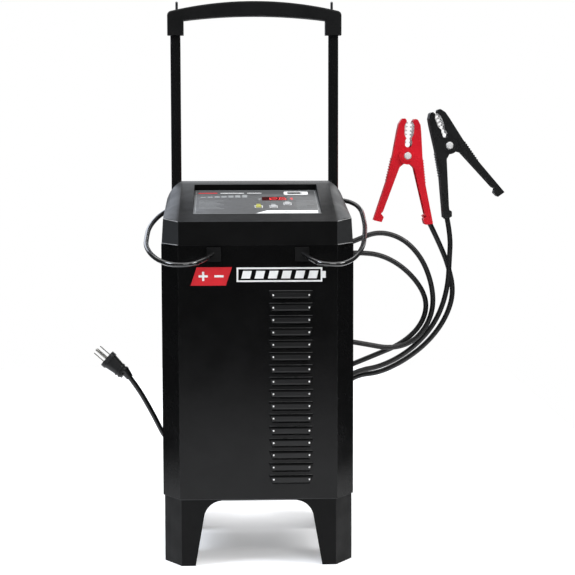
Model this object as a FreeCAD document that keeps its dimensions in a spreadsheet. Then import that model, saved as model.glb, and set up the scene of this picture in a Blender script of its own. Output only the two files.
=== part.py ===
import FreeCAD, Part
import math
import os

import Sketcher
from FreeCAD import Placement, Rotation, Vector

# Wheeled car battery charger: a sheet-steel cabinet with a sloping plastic head, a telescopic
# handle, a moulded front foot, two rear wheels, two bent rods that the cables wrap round, a mains
# cord with its plug and two output cables with spring clamps. Millimetres, +Z up, +X to the right
# as seen from the front. The origin lies on the floor under the middle of the charger's own box.
# Every Y below is counted from the cabinet's front face, and front_y moves it to the origin.

DIMENSIONS = (
    ("front_y", -120, "Y of the cabinet's front face"),
    ("cabinet_width", 254, "cabinet, across"),
    ("cabinet_depth", 200, "cabinet, front to back"),
    ("cabinet_bottom", 90, "floor to the cabinet's lower edge"),
    ("cabinet_top", 425.5, "floor to the cabinet's upper edge"),
    ("corner_across", 23, "cut-off front corner, along X"),
    ("corner_back", 31, "cut-off front corner, along Y"),
    ("sheet", 1.2, "sheet steel thickness"),
    ("flange", 36, "rear flange of the wrap"),
    ("louvre_count", 16, "louvres in the front"),
    ("louvre_pitch", 16.28, "from one louvre to the next"),
    ("louvre_top", 365.3, "upper edge of the first louvre"),
    ("louvre_centre", 42.7, "X of the louvres' middle"),
    ("louvre_width", 59, "louvre, along its open edge"),
    ("louvre_narrow", 49, "louvre, along its lower edge"),
    ("louvre_height", 11.8, "louvre, up and down"),
    ("louvre_reach", 5, "how far a louvre stands out"),
    ("foot_width", 250.4, "front foot, across"),
    ("foot_depth", 64, "front foot, front to back"),
    ("foot_wall", 2.5, "front foot's wall"),
    ("head_wall", 3, "plastic head's wall"),
    ("panel_tilt", 10.48, "slope of the control panel, degrees"),
    ("panel_width", 170, "control panel, across"),
    ("panel_length", 142, "control panel, up its slope"),
    ("button_travel", 0.8, "push button travel"),
    ("handle_spacing", 222.6, "between the handle tubes' axes"),
    ("handle_y", 210, "Y of the handle tubes' axes"),
    ("tube_radius", 7.15, "handle tube, outside"),
    ("tube_wall", 1.2, "handle tube's wall"),
    ("tube_foot", 350, "lower end of the tubes, handle up"),
    ("tube_head", 733, "upper end of the tubes, handle up"),
    ("running_gap", 0.05, "radial clearance of a sliding or turning fit"),
    ("handle_travel", 192, "how far the handle goes down"),
    ("guide_foot", 160, "lower end of the handle guides"),
    ("guide_head", 478, "upper end of the handle guides"),
    ("guide_side", 20, "outside of the square guides"),
    ("grip_depth", 24, "grip, front to back"),
    ("wheel_radius", 50, "rear wheel"),
    ("wheel_width", 32, "rear wheel, across its tread"),
    ("wheel_track", 214, "between the wheels' middles"),
    ("axle_y", 235, "Y of the rear axle"),
    ("axle_radius", 5, "rear axle"),
    ("wrap_rod", 3.175, "radius of the cable wrap rods"),
    ("cable_radius", 3.75, "output cable"),
    ("mains_radius", 3.5, "mains cord"),
    ("coil_outer", 43.75, "middle of the output coils' outer turns"),
    ("coil_inner", 36.25, "middle of the output coils' inner turns"),
    ("mains_outer", 41.5, "middle of the mains coil's outer turns"),
    ("mains_inner", 34.5, "middle of the mains coil's inner turns"),
    ("fan_radius", 37, "fan blades"),
    ("fan_across", 24, "X of the fan's middle"),
    ("fan_y", 180, "Y of the fan's middle"),
    ("fan_height", 300, "Z of the fan's middle"),
)

doc = FreeCAD.newDocument("battery_charger")
sheet = doc.addObject("Spreadsheet::Sheet", "dims")
for row, (alias, value, note) in enumerate(DIMENSIONS, 1):
    sheet.set(f"A{row}", note)
    sheet.set(f"B{row}", str(value))
    sheet.setAlias(f"B{row}", alias)
doc.recompute()

SUBPARTS = []
SIDES = (("left", -1), ("right", 1))


def dim(alias):
    """A driving dimension as a number."""
    return float(sheet.get(alias))


FRONT = Placement(Vector(0, dim("front_y"), 0), Rotation())
ALONG_X = Rotation(Vector(0, 1, 0), 90)
ALONG_Y = Rotation(Vector(1, 0, 0), -90)
BACKWARD = Vector(0, 1, 0)
UPWARD = Vector(0, 0, 1)
SIDEWAYS = Vector(1, 0, 0)


# ---------------------------------------------------------------------------- helpers
def keep(item, label):
    """Name a finished sub-part and put it on the list that is written out."""
    item.Label = label
    SUBPARTS.append(item)
    return item


def place(item, corner):
    """Bind a primitive's position, with Y counted from the cabinet's front face."""
    x, y, z = corner
    item.setExpression("Placement.Base.x", x)
    item.setExpression("Placement.Base.y", f"dims.front_y + ({y})")
    item.setExpression("Placement.Base.z", z)


def box(name, extent, corner):
    item = doc.addObject("Part::Box", name)
    for side, length in zip(("Length", "Width", "Height"), extent):
        item.setExpression(side, length)
    place(item, corner)
    return item


def cylinder(name, radius, length, foot, turn=Rotation()):
    item = doc.addObject("Part::Cylinder", name)
    item.Placement = Placement(Vector(), turn)
    item.setExpression("Radius", radius)
    item.setExpression("Height", length)
    place(item, foot)
    return item


def fuse(name, *items):
    item = doc.addObject("Part::MultiFuse", name)
    item.Shapes = list(items)
    return item


def common(name, *items):
    item = doc.addObject("Part::MultiCommon", name)
    item.Shapes = list(items)
    return item


def cut(name, base, *tools):
    item = doc.addObject("Part::Cut", name)
    item.Base = base
    item.Tool = tools[0] if len(tools) == 1 else fuse(name + "_tools", *tools)
    return item


def feature(name, shape):
    """A shape made with Part's own functions, moved with the cabinet's front face."""
    item = doc.addObject("Part::Feature", name)
    item.Shape = shape
    item.Placement = FRONT.multiply(shape.Placement)
    return item


def group(shapes):
    return Part.makeCompound(list(shapes))


def moved(shape, placement):
    """A copy of a shape, carried by a placement."""
    copy = shape.copy()
    copy.Placement = placement.multiply(shape.Placement)
    return copy


def rod(radius, start, end):
    """A plain round bar from start to end."""
    start, end = Vector(*start), Vector(*end)
    return Part.makeCylinder(radius, (end - start).Length, start, end - start)


def block(low, high):
    return Part.makeBox(*(b - a for a, b in zip(low, high)), Vector(*low))


def rounded_wire(corners, plane="XZ"):
    """A closed outline through (u, v, radius) corners, each rounded by a tangent arc."""
    flat = [Vector(u, v, 0) for u, v, _ in corners]
    edges, joints = [], []
    for i, (_, _, radius) in enumerate(corners):
        before = (flat[i - 1] - flat[i]).normalize()
        after = (flat[(i + 1) % len(flat)] - flat[i]).normalize()
        if radius == 0:
            joints.append((flat[i], None, flat[i]))
            continue
        half = before.getAngle(after) / 2
        reach = radius / math.tan(half)
        middle = flat[i] + (before + after).normalize() * (radius / math.sin(half) - radius)
        joints.append((flat[i] + before * reach, middle, flat[i] + after * reach))
    for i, (start, middle, end) in enumerate(joints):
        if middle:
            edges.append(Part.Arc(start, middle, end).toShape())
        following = joints[(i + 1) % len(joints)][0]
        if (following - end).Length > 1e-6:
            edges.append(Part.LineSegment(end, following).toShape())
    wire = Part.Wire(edges)
    if plane == "XZ":
        wire.rotate(Vector(), SIDEWAYS, 90)
    if plane == "YZ":
        wire.rotate(Vector(), Vector(1, 1, 1), 120)
    return wire


def slab(corners, start, thick, plane="XZ"):
    """An outline given thickness along the normal of its plane, from start onwards."""
    normal = {"XZ": BACKWARD, "XY": UPWARD, "YZ": SIDEWAYS}[plane]
    face = Part.Face(rounded_wire(corners, plane))
    face.translate(normal * start)
    return face.extrude(normal * thick)


def bend_path(points):
    """Straight runs joined by tangent arcs, each as large as its two runs allow."""
    points = [Vector(*p) for p in points]
    edges, radii, start = [], [], points[0]
    for i in range(1, len(points) - 1):
        before, after = points[i - 1] - points[i], points[i + 1] - points[i]
        reach = 0.45 * min(before.Length, after.Length)
        half = before.getAngle(after) / 2
        radius = reach * math.tan(half)
        before.normalize()
        after.normalize()
        middle = points[i] + (before + after).normalize() * (radius / math.sin(half) - radius)
        enter, leave = points[i] + before * reach, points[i] + after * reach
        edges.append(Part.LineSegment(start, enter).toShape())
        edges.append(Part.Arc(enter, middle, leave).toShape())
        radii.append(radius)
        start = leave
    edges.append(Part.LineSegment(start, points[-1]).toShape())
    return Part.Wire(edges), radii


def bent_tube(name, points, radius):
    """A round section swept along straight runs and arcs, its volume checked."""
    path, radii = bend_path(points)
    start, ahead = Vector(*points[0]), Vector(*points[1])
    section = Part.Wire(Part.makeCircle(radius, start, ahead - start))
    tube = path.makePipeShell([section], True, False)
    expected = math.pi * radius**2 * path.Length
    print(f"{name}: length {path.Length:.0f}, smallest radius {min(radii):.0f},"
          f" volume ratio {tube.Volume / expected:.4f}")
    print("  radii", " ".join(f"{r:.0f}" for r in radii))
    return tube


def body(name):
    item = doc.addObject("PartDesign::Body", name)
    item.setExpression("Placement.Base.y", "dims.front_y")
    return item


def origin_plane(owner, role):
    return next(f for f in owner.Origin.OriginFeatures if f.Role == role)


def outline_sketch(owner, role, corners, offset="0"):
    """A closed outline of straight lines whose every corner is bound to the sheet."""
    sketch = owner.newObject("Sketcher::SketchObject", owner.Name + "_outline")
    sketch.AttachmentSupport = (origin_plane(owner, role), "")
    sketch.MapMode = "FlatFace"
    sketch.setExpression("AttachmentOffset.Base.z", offset)
    count = len(corners)
    spots = [Vector(50 * math.cos(2 * math.pi * i / count), 50 * math.sin(2 * math.pi * i / count), 0)
             for i in range(count)]
    for i in range(count):
        sketch.addGeometry(Part.LineSegment(spots[i], spots[(i + 1) % count]), False)
    for i in range(count):
        sketch.addConstraint(Sketcher.Constraint("Coincident", i, 2, (i + 1) % count, 1))
    for i, (across, upward) in enumerate(corners):
        for kind, expression, start in (("DistanceX", across, spots[i].x),
                                        ("DistanceY", upward, spots[i].y)):
            number = sketch.addConstraint(Sketcher.Constraint(kind, -1, 1, i, 1, start))
            sketch.renameConstraint(number, f"{kind}_{i}")
            sketch.setExpression(f"Constraints.{kind}_{i}", expression)
    return sketch


def circle_sketch(owner, role, across, upward, radius):
    """One circle whose centre and radius are bound to the sheet."""
    sketch = owner.newObject("Sketcher::SketchObject", owner.Name + "_circle")
    sketch.AttachmentSupport = (origin_plane(owner, role), "")
    sketch.MapMode = "FlatFace"
    sketch.addGeometry(Part.Circle(Vector(10, 10, 0), UPWARD, 5), False)
    for kind, name, expression in (("DistanceX", "across", across), ("DistanceY", "upward", upward)):
        number = sketch.addConstraint(Sketcher.Constraint(kind, -1, 1, 0, 3, 10))
        sketch.renameConstraint(number, name)
        sketch.setExpression(f"Constraints.{name}", expression)
    number = sketch.addConstraint(Sketcher.Constraint("Radius", 0, 5))
    sketch.renameConstraint(number, "radius")
    sketch.setExpression("Constraints.radius", radius)
    return sketch


def pad(owner, sketch, length, backwards=False):
    item = owner.newObject("PartDesign::Pad", owner.Name + "_pad")
    item.Profile = sketch
    item.Reversed = backwards
    item.setExpression("Length", length)
    return item


def through_pocket(owner, sketch):
    """A pocket that goes right through, both ways from its sketch."""
    item = owner.newObject("PartDesign::Pocket", owner.Name + "_pocket")
    item.Profile = sketch
    item.Type = "ThroughAll"
    item.SideType = "Symmetric"
    return item


def check_cut(before, after):
    """Stop if a cut took nothing away."""
    if after.Shape.Volume >= before.Shape.Volume - 1e-3:
        raise RuntimeError(f"{after.Name} cuts nothing")


def screw(head_radius, head_height, shank_radius, shank_length):
    """A pan-head screw, head on +Z with its seat at the origin."""
    crown = head_height * 0.45
    profile = [Vector(0, 0, head_height), Vector(head_radius * 0.72, 0, head_height),
               Vector(head_radius, 0, crown), Vector(head_radius, 0, 0),
               Vector(shank_radius, 0, 0), Vector(shank_radius, 0, -shank_length),
               Vector(0, 0, -shank_length), Vector(0, 0, head_height)]
    turned = Part.Face(Part.makePolygon(profile)).revolve(Vector(), UPWARD, 360)
    slot_depth, slot_half = head_height * 0.5, head_radius * 0.13
    bars = [block((-head_radius * 0.6, -slot_half, head_height - slot_depth),
                  (head_radius * 0.6, slot_half, head_height + 1)),
            block((-slot_half, -head_radius * 0.6, head_height - slot_depth),
                  (slot_half, head_radius * 0.6, head_height + 1))]
    return turned.cut(bars[0].fuse(bars[1]))


def screws(shape, seats, heading):
    """Copies of one screw on its seats, all heads facing the same way."""
    turn = Rotation(UPWARD, Vector(*heading))
    return group(moved(shape, Placement(Vector(*seat), turn)) for seat in seats)


def holes(radius, seats, heading, deep):
    """Round holes through the walls under a group of screws."""
    reach = Vector(*heading) * deep
    return group(Part.makeCylinder(radius, 2 * deep, Vector(*seat) - reach, Vector(*heading))
                 for seat in seats)



# ---------------------------------------------------------------------------- cabinet
HALF = dim("cabinet_width") / 2
DEPTH = dim("cabinet_depth")
TOP = dim("cabinet_top")
BOTTOM = dim("cabinet_bottom")
REAR_SKIN = DEPTH - dim("sheet")

REAR_SCREW_SEATS = [(side * 118, DEPTH, z) for _, side in SIDES for z in (103, 145)]
HEAD_SCREW_SEATS = [(side * 80, DEPTH, 437) for _, side in SIDES]
GUIDE_SCREW_SEATS = [(side * 95, DEPTH + 2, z) for _, side in SIDES for z in (180, 245, 310, 405)]
FOOT_SCREW_SEATS = [(side * 88, y, BOTTOM - dim("foot_wall")) for _, side in SIDES for y in (20, 52)]
SCREW_HOLE = 2.05


def louvre(width, narrow, height, reach, back):
    """A pressed louvre: wide and open along its top, sloping in to the sheet at its foot."""
    seat = [Vector(-width / 2, back, 0), Vector(width / 2, back, 0),
            Vector(narrow / 2, back, -height), Vector(-narrow / 2, back, -height)]
    lip = [Vector(3.5 - width / 2, -reach, -2.6), Vector(width / 2 - 3.5, -reach, -2.6),
           Vector(narrow / 2 + 1, -reach, -height * 0.72), Vector(-narrow / 2 - 1, -reach, -height * 0.72)]
    wires = [Part.makePolygon(corners + corners[:1]) for corners in (seat, lip)]
    solid = Part.makeLoft(wires, True, True)
    rim = [edge for edge in solid.Edges
           if max(vertex.Y for vertex in edge.Vertexes) < 0.01 - reach
           and min(vertex.Z for vertex in edge.Vertexes) < -2.61]
    return solid.makeFillet(2.6, rim) if back == 0 else solid


def build_cabinet():
    chamfer = "sqrt(dims.corner_across ^ 2 + dims.corner_back ^ 2)"
    side = "dims.cabinet_width / 2"
    front = "(dims.cabinet_width / 2 - dims.corner_across)"
    inner_side = "(dims.cabinet_width / 2 - dims.sheet)"
    inner_front = f"({front} - dims.sheet * ({chamfer} - dims.corner_across) / dims.corner_back)"
    inner_back = f"(dims.corner_back + dims.sheet * ({chamfer} - dims.corner_back) / dims.corner_across)"
    rear = "(dims.cabinet_depth - dims.sheet)"
    lip = "(dims.cabinet_width / 2 - dims.flange)"
    right = [(front, "0"), (side, "dims.corner_back"), (side, rear), (lip, rear),
             (lip, rear + " - dims.sheet"), (inner_side, rear + " - dims.sheet"),
             (inner_side, inner_back), (inner_front, "dims.sheet")]
    outer, inner = right[:4], right[4:]
    corners = [("-" + x, y) for x, y in reversed(outer)] + outer + inner
    corners += [("-" + x, y) for x, y in reversed(inner)]
    wrap = body("cabinet_wrap")
    pad(wrap, outline_sketch(wrap, "XY_Plane", corners, "dims.cabinet_bottom"),
        "dims.cabinet_top - dims.cabinet_bottom")
    sheet_in = dim("sheet")
    spots = [Vector(dim("louvre_centre"), 0, dim("louvre_top") - i * dim("louvre_pitch"))
             for i in range(int(dim("louvre_count")))]
    hood = louvre(dim("louvre_width"), dim("louvre_narrow"), dim("louvre_height"),
                  dim("louvre_reach"), 0)
    hollow = louvre(dim("louvre_width") - 3 * sheet_in, dim("louvre_narrow") - 2 * sheet_in,
                    dim("louvre_height") - 2 * sheet_in, dim("louvre_reach") - sheet_in,
                    2 * sheet_in)
    hoods = feature("louvre_hoods", group(hood.copy().translate(spot) for spot in spots))
    openings = feature("louvre_openings", group(hollow.copy().translate(spot) for spot in spots))
    rear_seats = REAR_SCREW_SEATS + GUIDE_SCREW_SEATS
    rear_holes = feature("wrap_screw_holes", holes(SCREW_HOLE, rear_seats, (0, 1, 0), 6))
    wrapped = cut("cabinet_open", fuse("cabinet_closed", wrap, hoods), openings, rear_holes)
    low, tall = "dims.cabinet_bottom - 1", "dims.cabinet_top - dims.cabinet_bottom + 2"
    middle = box("front_span", (f"2 * {front}", "60", tall), (f"-{front}", "-20", low))
    keep(common("front_sheet", wrapped, middle), "cabinet_front")
    sides = cut("side_sheets", wrapped, middle)
    for name, sign in SIDES:
        half = box(f"half_span_{name}", (side + " + 1", "dims.cabinet_depth + 2", tall),
                   ("0" if sign > 0 else f"-{side} - 1", "-1", low))
        keep(common(f"side_sheet_{name}", sides, half), f"cabinet_side_{name}")


def build_rear_panel():
    panel = body("rear_plate")
    side = "(dims.cabinet_width / 2 - 0.5)"
    shoulder = "(dims.cabinet_width / 2 - 30)"
    low, high = "dims.cabinet_bottom + 0.5", "dims.cabinet_top - 0.5"
    tab = "dims.cabinet_top + 20"
    right = [(side, low), (side, high), (shoulder, high), (shoulder, tab)]
    corners = right + [("-" + x, z) for x, z in reversed(right)]
    sketch = outline_sketch(panel, "XZ_Plane", corners, "-dims.cabinet_depth + dims.sheet")
    plate = pad(panel, sketch, "dims.sheet", backwards=True)
    slot = outline_sketch(panel, "XZ_Plane", [("-70", "222"), ("-14", "222"), ("-14", "226"),
                                              ("-70", "226")])
    slots = through_pocket(panel, slot)
    doc.recompute()
    check_cut(plate, slots)
    rows = panel.newObject("PartDesign::LinearPattern", "vent_rows")
    rows.Originals = [slots]
    rows.Direction = (slot, ["V_Axis"])
    rows.Length = 18
    rows.Occurrences = 3
    panel.Tip = rows
    fan_x = dim("fan_across")
    reach = dim("fan_radius") - 4
    grille = [slab([(fan_x - w, z - 2, 1.9), (fan_x + w, z - 2, 1.9), (fan_x + w, z + 2, 1.9),
                    (fan_x - w, z + 2, 1.9)], REAR_SKIN - 2, 5)
              for z, w in ((dim("fan_height") + 8 * k, math.sqrt(reach**2 - (8 * k)**2))
                           for k in range(-3, 4))]
    entries = group(Part.makeCylinder(6, 8, Vector(exit.x, REAR_SKIN - 2, exit.z), BACKWARD)
                    for exit in (relief_root(name) for name in OUTLETS))
    seats = REAR_SCREW_SEATS + HEAD_SCREW_SEATS + GUIDE_SCREW_SEATS
    keep(cut("rear_cut", panel, feature("fan_grille", group(grille)),
             feature("cable_entries", entries),
             feature("rear_screw_holes", holes(SCREW_HOLE, seats, (0, 1, 0), 6))), "rear_panel")


def build_base_pan():
    inset = 0.4 + dim("sheet")
    half = HALF - inset
    front = HALF - dim("corner_across") - 1.2
    corners = [(-half, dim("corner_back") + 1, 0), (-front, inset, 0), (front, inset, 0),
               (half, dim("corner_back") + 1, 0), (half, REAR_SKIN - 2, 0), (-half, REAR_SKIN - 2, 0)]
    floor = feature("pan_floor", slab(corners, BOTTOM, 1.5, "XY"))
    lips = [box(f"pan_lip_{name}", ("1.2", "120", "14"), (x, "50", "dims.cabinet_bottom"))
            for name, x in (("left", "-dims.cabinet_width / 2 + dims.sheet + 0.4"),
                            ("right", "dims.cabinet_width / 2 - dims.sheet - 1.6"))]
    shanks = feature("pan_holes", holes(SCREW_HOLE, FOOT_SCREW_SEATS, (0, 0, 1), 10))
    keep(cut("pan_drilled", fuse("pan_whole", floor, *lips), shanks), "base_pan")


def build_front_foot():
    half = dim("foot_width") / 2
    front = half - dim("corner_across")
    wall, deep = dim("foot_wall"), dim("foot_depth")
    back = dim("corner_back") + 3
    diagonal = math.hypot(dim("corner_across"), back)
    inner_front = front - wall * (diagonal - dim("corner_across")) / back
    inner_back = back + wall * (diagonal - back) / dim("corner_across")
    outline = [(-half, deep), (-half, back), (-front, 0), (front, 0), (half, back), (half, deep)]
    hollow = [(-half + wall, deep + 1), (-half + wall, inner_back), (-inner_front, wall),
              (inner_front, wall), (half - wall, inner_back), (half - wall, deep + 1)]
    under = BOTTOM - wall
    skin = slab([(x, y, 0) for x, y in outline], 0, BOTTOM, "XY")
    skin = skin.cut(slab([(x, y, 0) for x, y in hollow], -1, under + 1, "XY"))
    arch = slab([(-84.8, -5, 0), (84.8, -5, 0), (68.6, under, 25), (-68.6, under, 25)], -1, wall + 2)
    skin = skin.cut(arch)
    for _, side in SIDES:
        skin = skin.cut(slab([(side * (half - 3), -1, 0), (side * (half + 1), -1, 0),
                              (side * (half + 1), 4, 0), (side * (half - 3), 4, 0)], back, deep))
    skin = skin.cut(holes(SCREW_HOLE, FOOT_SCREW_SEATS, (0, 0, 1), 10))
    keep(feature("foot_skin", skin), "front_foot")


# ---------------------------------------------------------------------------- head
FOLD = 103.5
HEAD_HALF = 124.3
HEAD_SKIRT = 126.6
RIDGE_Y = 193
PANEL_Y = 36
PANEL_Z = 463.2
PANEL = Placement(Vector(0, PANEL_Y, PANEL_Z), Rotation(SIDEWAYS, dim("panel_tilt")))
PANEL_NORMAL = PANEL.Rotation.multVec(UPWARD)
PANEL_HALF = dim("panel_width") / 2
PANEL_LONG = dim("panel_length")
OVERLAY = 1.2
WINDOW = (8, 78, 43, 101)
BUTTON_SPOTS = (("type_button", 2.6, 42), ("rate_button", 22.7, 42), ("display_button", 42, 58))
BUTTON_SIZE = (7.4, 11)


def head_section(y, shoulder, top, crown, inset):
    """The head's section across X: skirt, side, crowned shoulder and flat top."""
    skirt, side, fold = HEAD_SKIRT - inset, HEAD_HALF - inset, FOLD - inset * 0.4
    low = TOP - (1 if inset else 0)
    shoulder, top = shoulder - inset * 0.6, top - inset
    bulge_x = fold + (side - fold) * (0.5 + 0.5 * crown)
    bulge_z = shoulder + (top - shoulder) * (0.5 + 0.5 * crown)

    def crowned(sign):
        curve = Part.BezierCurve()
        poles = [Vector(sign * side, y, shoulder), Vector(sign * bulge_x, y, bulge_z),
                 Vector(sign * fold, y, top)]
        curve.setPoles(poles if sign > 0 else poles[::-1])
        return curve.toShape()

    def line(start, end):
        return Part.LineSegment(Vector(start[0], y, start[1]), Vector(end[0], y, end[1])).toShape()

    return Part.Wire([line((-skirt, low), (skirt, low)), line((skirt, low), (side, shoulder)),
                      crowned(1), line((fold, top), (-fold, top)), crowned(-1),
                      line((-side, shoulder), (-skirt, low))])


def head_solid(inset):
    """The head's outer form, or its hollow when inset by the wall."""
    front = head_section(inset, 455.5 + inset * 0.1, 456.2 + inset * 0.24, 0, inset)
    ridge = head_section(RIDGE_Y - inset, 477.5, 502.8 - inset * 0.24, 0.42, inset)
    back = head_section(REAR_SKIN - inset, 474.5, 498.6 - inset * 0.24, 0.42, inset)
    solid = Part.makeLoft([front, ridge], True, True).fuse(Part.makeLoft([ridge, back], True, True))
    across, along = HEAD_HALF - FOLD, 30.0
    ahead = inset * 0.6
    for _, side in SIDES:
        wedge = [(side * (FOLD - ahead - 2 * across / along), -2, 0), (side * 140, -2, 0),
                 (side * 140, (140 - FOLD + ahead) * along / across, 0)]
        solid = solid.cut(slab(wedge, TOP - 2, 90, "XY"))
    return solid.removeSplitter()


def on_panel(shape):
    """Lay a shape drawn flat onto the sloping panel."""
    return moved(shape, PANEL)


def rectangle(low_x, low_y, high_x, high_y, radius):
    return [(low_x, low_y, radius), (high_x, low_y, radius), (high_x, high_y, radius),
            (low_x, high_y, radius)]


def button_outline(spot_x, spot_y, grow):
    across, along = BUTTON_SIZE[0] / 2 + grow, BUTTON_SIZE[1] / 2 + grow
    return rectangle(spot_x - across, spot_y - along, spot_x + across, spot_y + along, 1.5 + grow)


def build_head():
    outer, hollow = head_solid(0), head_solid(dim("head_wall"))
    shell = outer.cut(hollow)
    lip, floor = 3.0, 2.5
    tray = on_panel(slab(rectangle(-PANEL_HALF - lip - 0.5, -lip, PANEL_HALF + lip + 0.5,
                                   PANEL_LONG + lip, 2), -floor, 30, "XY")).common(outer)
    recess = on_panel(slab(rectangle(-PANEL_HALF - 0.5, -0.5, PANEL_HALF + 0.5, PANEL_LONG + 0.5, 1.5),
                           0, 40, "XY"))
    window = on_panel(slab(rectangle(*WINDOW, 1), -5, 10, "XY"))
    shell = shell.fuse(tray).cut(recess).cut(window)
    for _, x, y in BUTTON_SPOTS:
        shell = shell.cut(on_panel(slab(button_outline(x, y, 0.3), -5, 10, "XY")))
    shell = shell.cut(holes(SCREW_HOLE, HEAD_SCREW_SEATS, (0, 1, 0), 8)).cut(group(WRAP_RODS.values()))
    keep(feature("head_moulding", shell.removeSplitter()), "head_cover")


def build_panel():
    plate = slab(rectangle(-PANEL_HALF, 0, PANEL_HALF, PANEL_LONG, 1.5), 0, OVERLAY, "XY")
    plate = plate.cut(slab(rectangle(*WINDOW, 1), -1, 5, "XY"))
    for _, x, y in BUTTON_SPOTS:
        plate = plate.cut(slab(button_outline(x, y, 0.3), -1, 5, "XY"))
    keep(feature("overlay_plate", on_panel(plate)), "control_overlay")

    low_x, low_y, high_x, high_y = WINDOW
    pane = slab(rectangle(low_x + 0.2, low_y + 0.2, high_x - 0.2, high_y - 0.2, 0.8), -2.5, 3.5, "XY")
    keep(feature("window_pane", on_panel(pane)), "display_window")

    module = slab(rectangle(low_x - 1, low_y - 1, high_x + 1, high_y + 1, 0), -10, 7, "XY")
    keep(feature("display_block", on_panel(module)), "digit_display")

    board = slab(rectangle(-60, 12, 70, 128, 2), -11.6, 1.6, "XY")
    switches = [slab(rectangle(x - 3, y - 3, x + 3, y + 3, 0.5), -10, 2.6, "XY")
                for _, x, y in BUTTON_SPOTS]
    relay = block((-50, 40, -24), (-22, 68, -11.6))
    capacitors = [Part.makeCylinder(6, 18, Vector(x, 100, -11.6), -UPWARD) for x in (-40, -20, 0)]
    posts = [Part.makeCylinder(3, 7.5, Vector(x, y, -10)) for x in (-54, 64) for y in (18, 122)]
    whole = board.fuse(switches + [relay] + capacitors + posts)
    keep(feature("board_with_parts", on_panel(whole)), "control_board")

    for label, x, y in BUTTON_SPOTS:
        cap = slab(button_outline(x, y, 0), -2.5, 4.9, "XY")
        retainer = slab(button_outline(x, y, 1.4), -3.75, 1.2, "XY")
        stem = slab(rectangle(x - 1.5, y - 1.5, x + 1.5, y + 1.5, 0.4), -6.5, 4, "XY")
        rim = [edge for edge in cap.Edges if edge.BoundBox.ZMin > 2.3]
        keep(feature(label + "_cap", on_panel(cap.makeFillet(0.5, rim).fuse([retainer, stem]))), label)


# ---------------------------------------------------------------------------- electrics
def build_electrics():
    core = box("core_stack", ("110", "62", "94"), ("-70", "60", "dims.cabinet_bottom + 1.5"))
    windows = [box(f"core_window_{i}", ("18", "70", "56"), (x, "56", "dims.cabinet_bottom + 21.5"))
               for i, x in enumerate(("-51", "3"))]
    laminations = cut("core_cut", core, *windows)

    coil = box("winding_block", ("71.2", "92", "54"), ("-50.6", "45", "dims.cabinet_bottom + 22.5"))
    leg = box("winding_leg", ("36.4", "62.4", "60"), ("-33.2", "59.8", "dims.cabinet_bottom + 20"))
    keep(cut("winding_cut", coil, leg), "transformer_winding")

    strap = [box("strap_top", ("116", "24", "1.5"), ("-73", "79", "dims.cabinet_bottom + 95.5")),
             box("strap_left", ("1.5", "24", "95.5"), ("-73", "79", "dims.cabinet_bottom + 1.5")),
             box("strap_right", ("1.5", "24", "95.5"), ("41.5", "79", "dims.cabinet_bottom + 1.5")),
             box("strap_foot_left", ("16", "24", "1.5"), ("-88", "79", "dims.cabinet_bottom + 1.5")),
             box("strap_foot_right", ("16", "24", "1.5"), ("42", "79", "dims.cabinet_bottom + 1.5"))]
    strapped = doc.addObject("Part::Compound", "core_and_strap")
    strapped.Links = [laminations, fuse("strap", *strap)]
    keep(strapped, "transformer_core")

    fins = [box(f"heatsink_fin_{i}", ("2.5", "28", "90"),
                (str(66 + 8 * i), "120", "dims.cabinet_bottom + 1.5")) for i in range(6)]
    plate = box("heatsink_plate", ("50", "4", "90"), ("61.5", "148", "dims.cabinet_bottom + 1.5"))
    heatsink = fuse("heatsink", plate, *fins)
    diodes = [cylinder(f"diode_{i}", "6", "8",
                       (str(74 + 25 * (i % 2)), "152", f"dims.cabinet_bottom + {22 + 48 * (i // 2)}"),
                       ALONG_Y) for i in range(4)]
    rectifier = doc.addObject("Part::Compound", "heatsink_with_diodes")
    rectifier.Links = [heatsink, *diodes]
    keep(rectifier, "rectifier")

    side = "(dims.fan_radius * 2 + 8)"
    frame = box("fan_block", (side, "dims.cabinet_depth - dims.sheet - dims.fan_y + 8", side),
                (f"dims.fan_across - {side} / 2", "dims.fan_y - 8", f"dims.fan_height - {side} / 2"))
    duct_start = ("dims.fan_across", "dims.fan_y - 20", "dims.fan_height")
    duct = cylinder("fan_duct", "dims.fan_radius + 1", "40", duct_start,
                    ALONG_Y)
    struts = [box("fan_upright_strut", ("5", "3", side),
                  ("dims.fan_across - 2.5", "dims.fan_y + 13", f"dims.fan_height - {side} / 2")),
              box("fan_cross_strut", (side, "3", "5"),
                  (f"dims.fan_across - {side} / 2", "dims.fan_y + 13", "dims.fan_height - 2.5"))]
    behind_hub = ("dims.fan_across", "dims.fan_y + 13", "dims.fan_height")
    motor = cylinder("fan_motor", "11", "3", behind_hub, ALONG_Y)
    in_hub = ("dims.fan_across", "dims.fan_y - 1.9", "dims.fan_height")
    pin = cylinder("fan_pin", "2", "15.9", in_hub, ALONG_Y)
    ring = cut("fan_ring", frame, duct)
    keep(fuse("fan_housing", ring, motor, pin, *struts), "fan_frame")

    centre = Vector(dim("fan_across"), dim("fan_y"), dim("fan_height"))
    hub = Part.makeCylinder(12, 16, Vector(0, -4, 0), BACKWARD)
    blades = []
    for i in range(7):
        blade = block((-1, -1, 10), (1, 11, dim("fan_radius") - 1.5))
        blade.rotate(Vector(0, 5, 0), UPWARD, 38)
        blade.rotate(Vector(), BACKWARD, 360 / 7 * i)
        blades.append(blade)
    bore = Part.makeCylinder(2 + dim("running_gap"), 30, Vector(0, -2, 0), BACKWARD)
    inside = Part.makeCylinder(dim("fan_radius") - 0.8, 11.5, Vector(0, -0.2, 0), BACKWARD)
    spinner = hub.fuse([blade.common(inside) for blade in blades]).cut(bore)
    spinner.translate(centre)
    keep(feature("fan_spinner", spinner), "fan_rotor")


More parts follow.
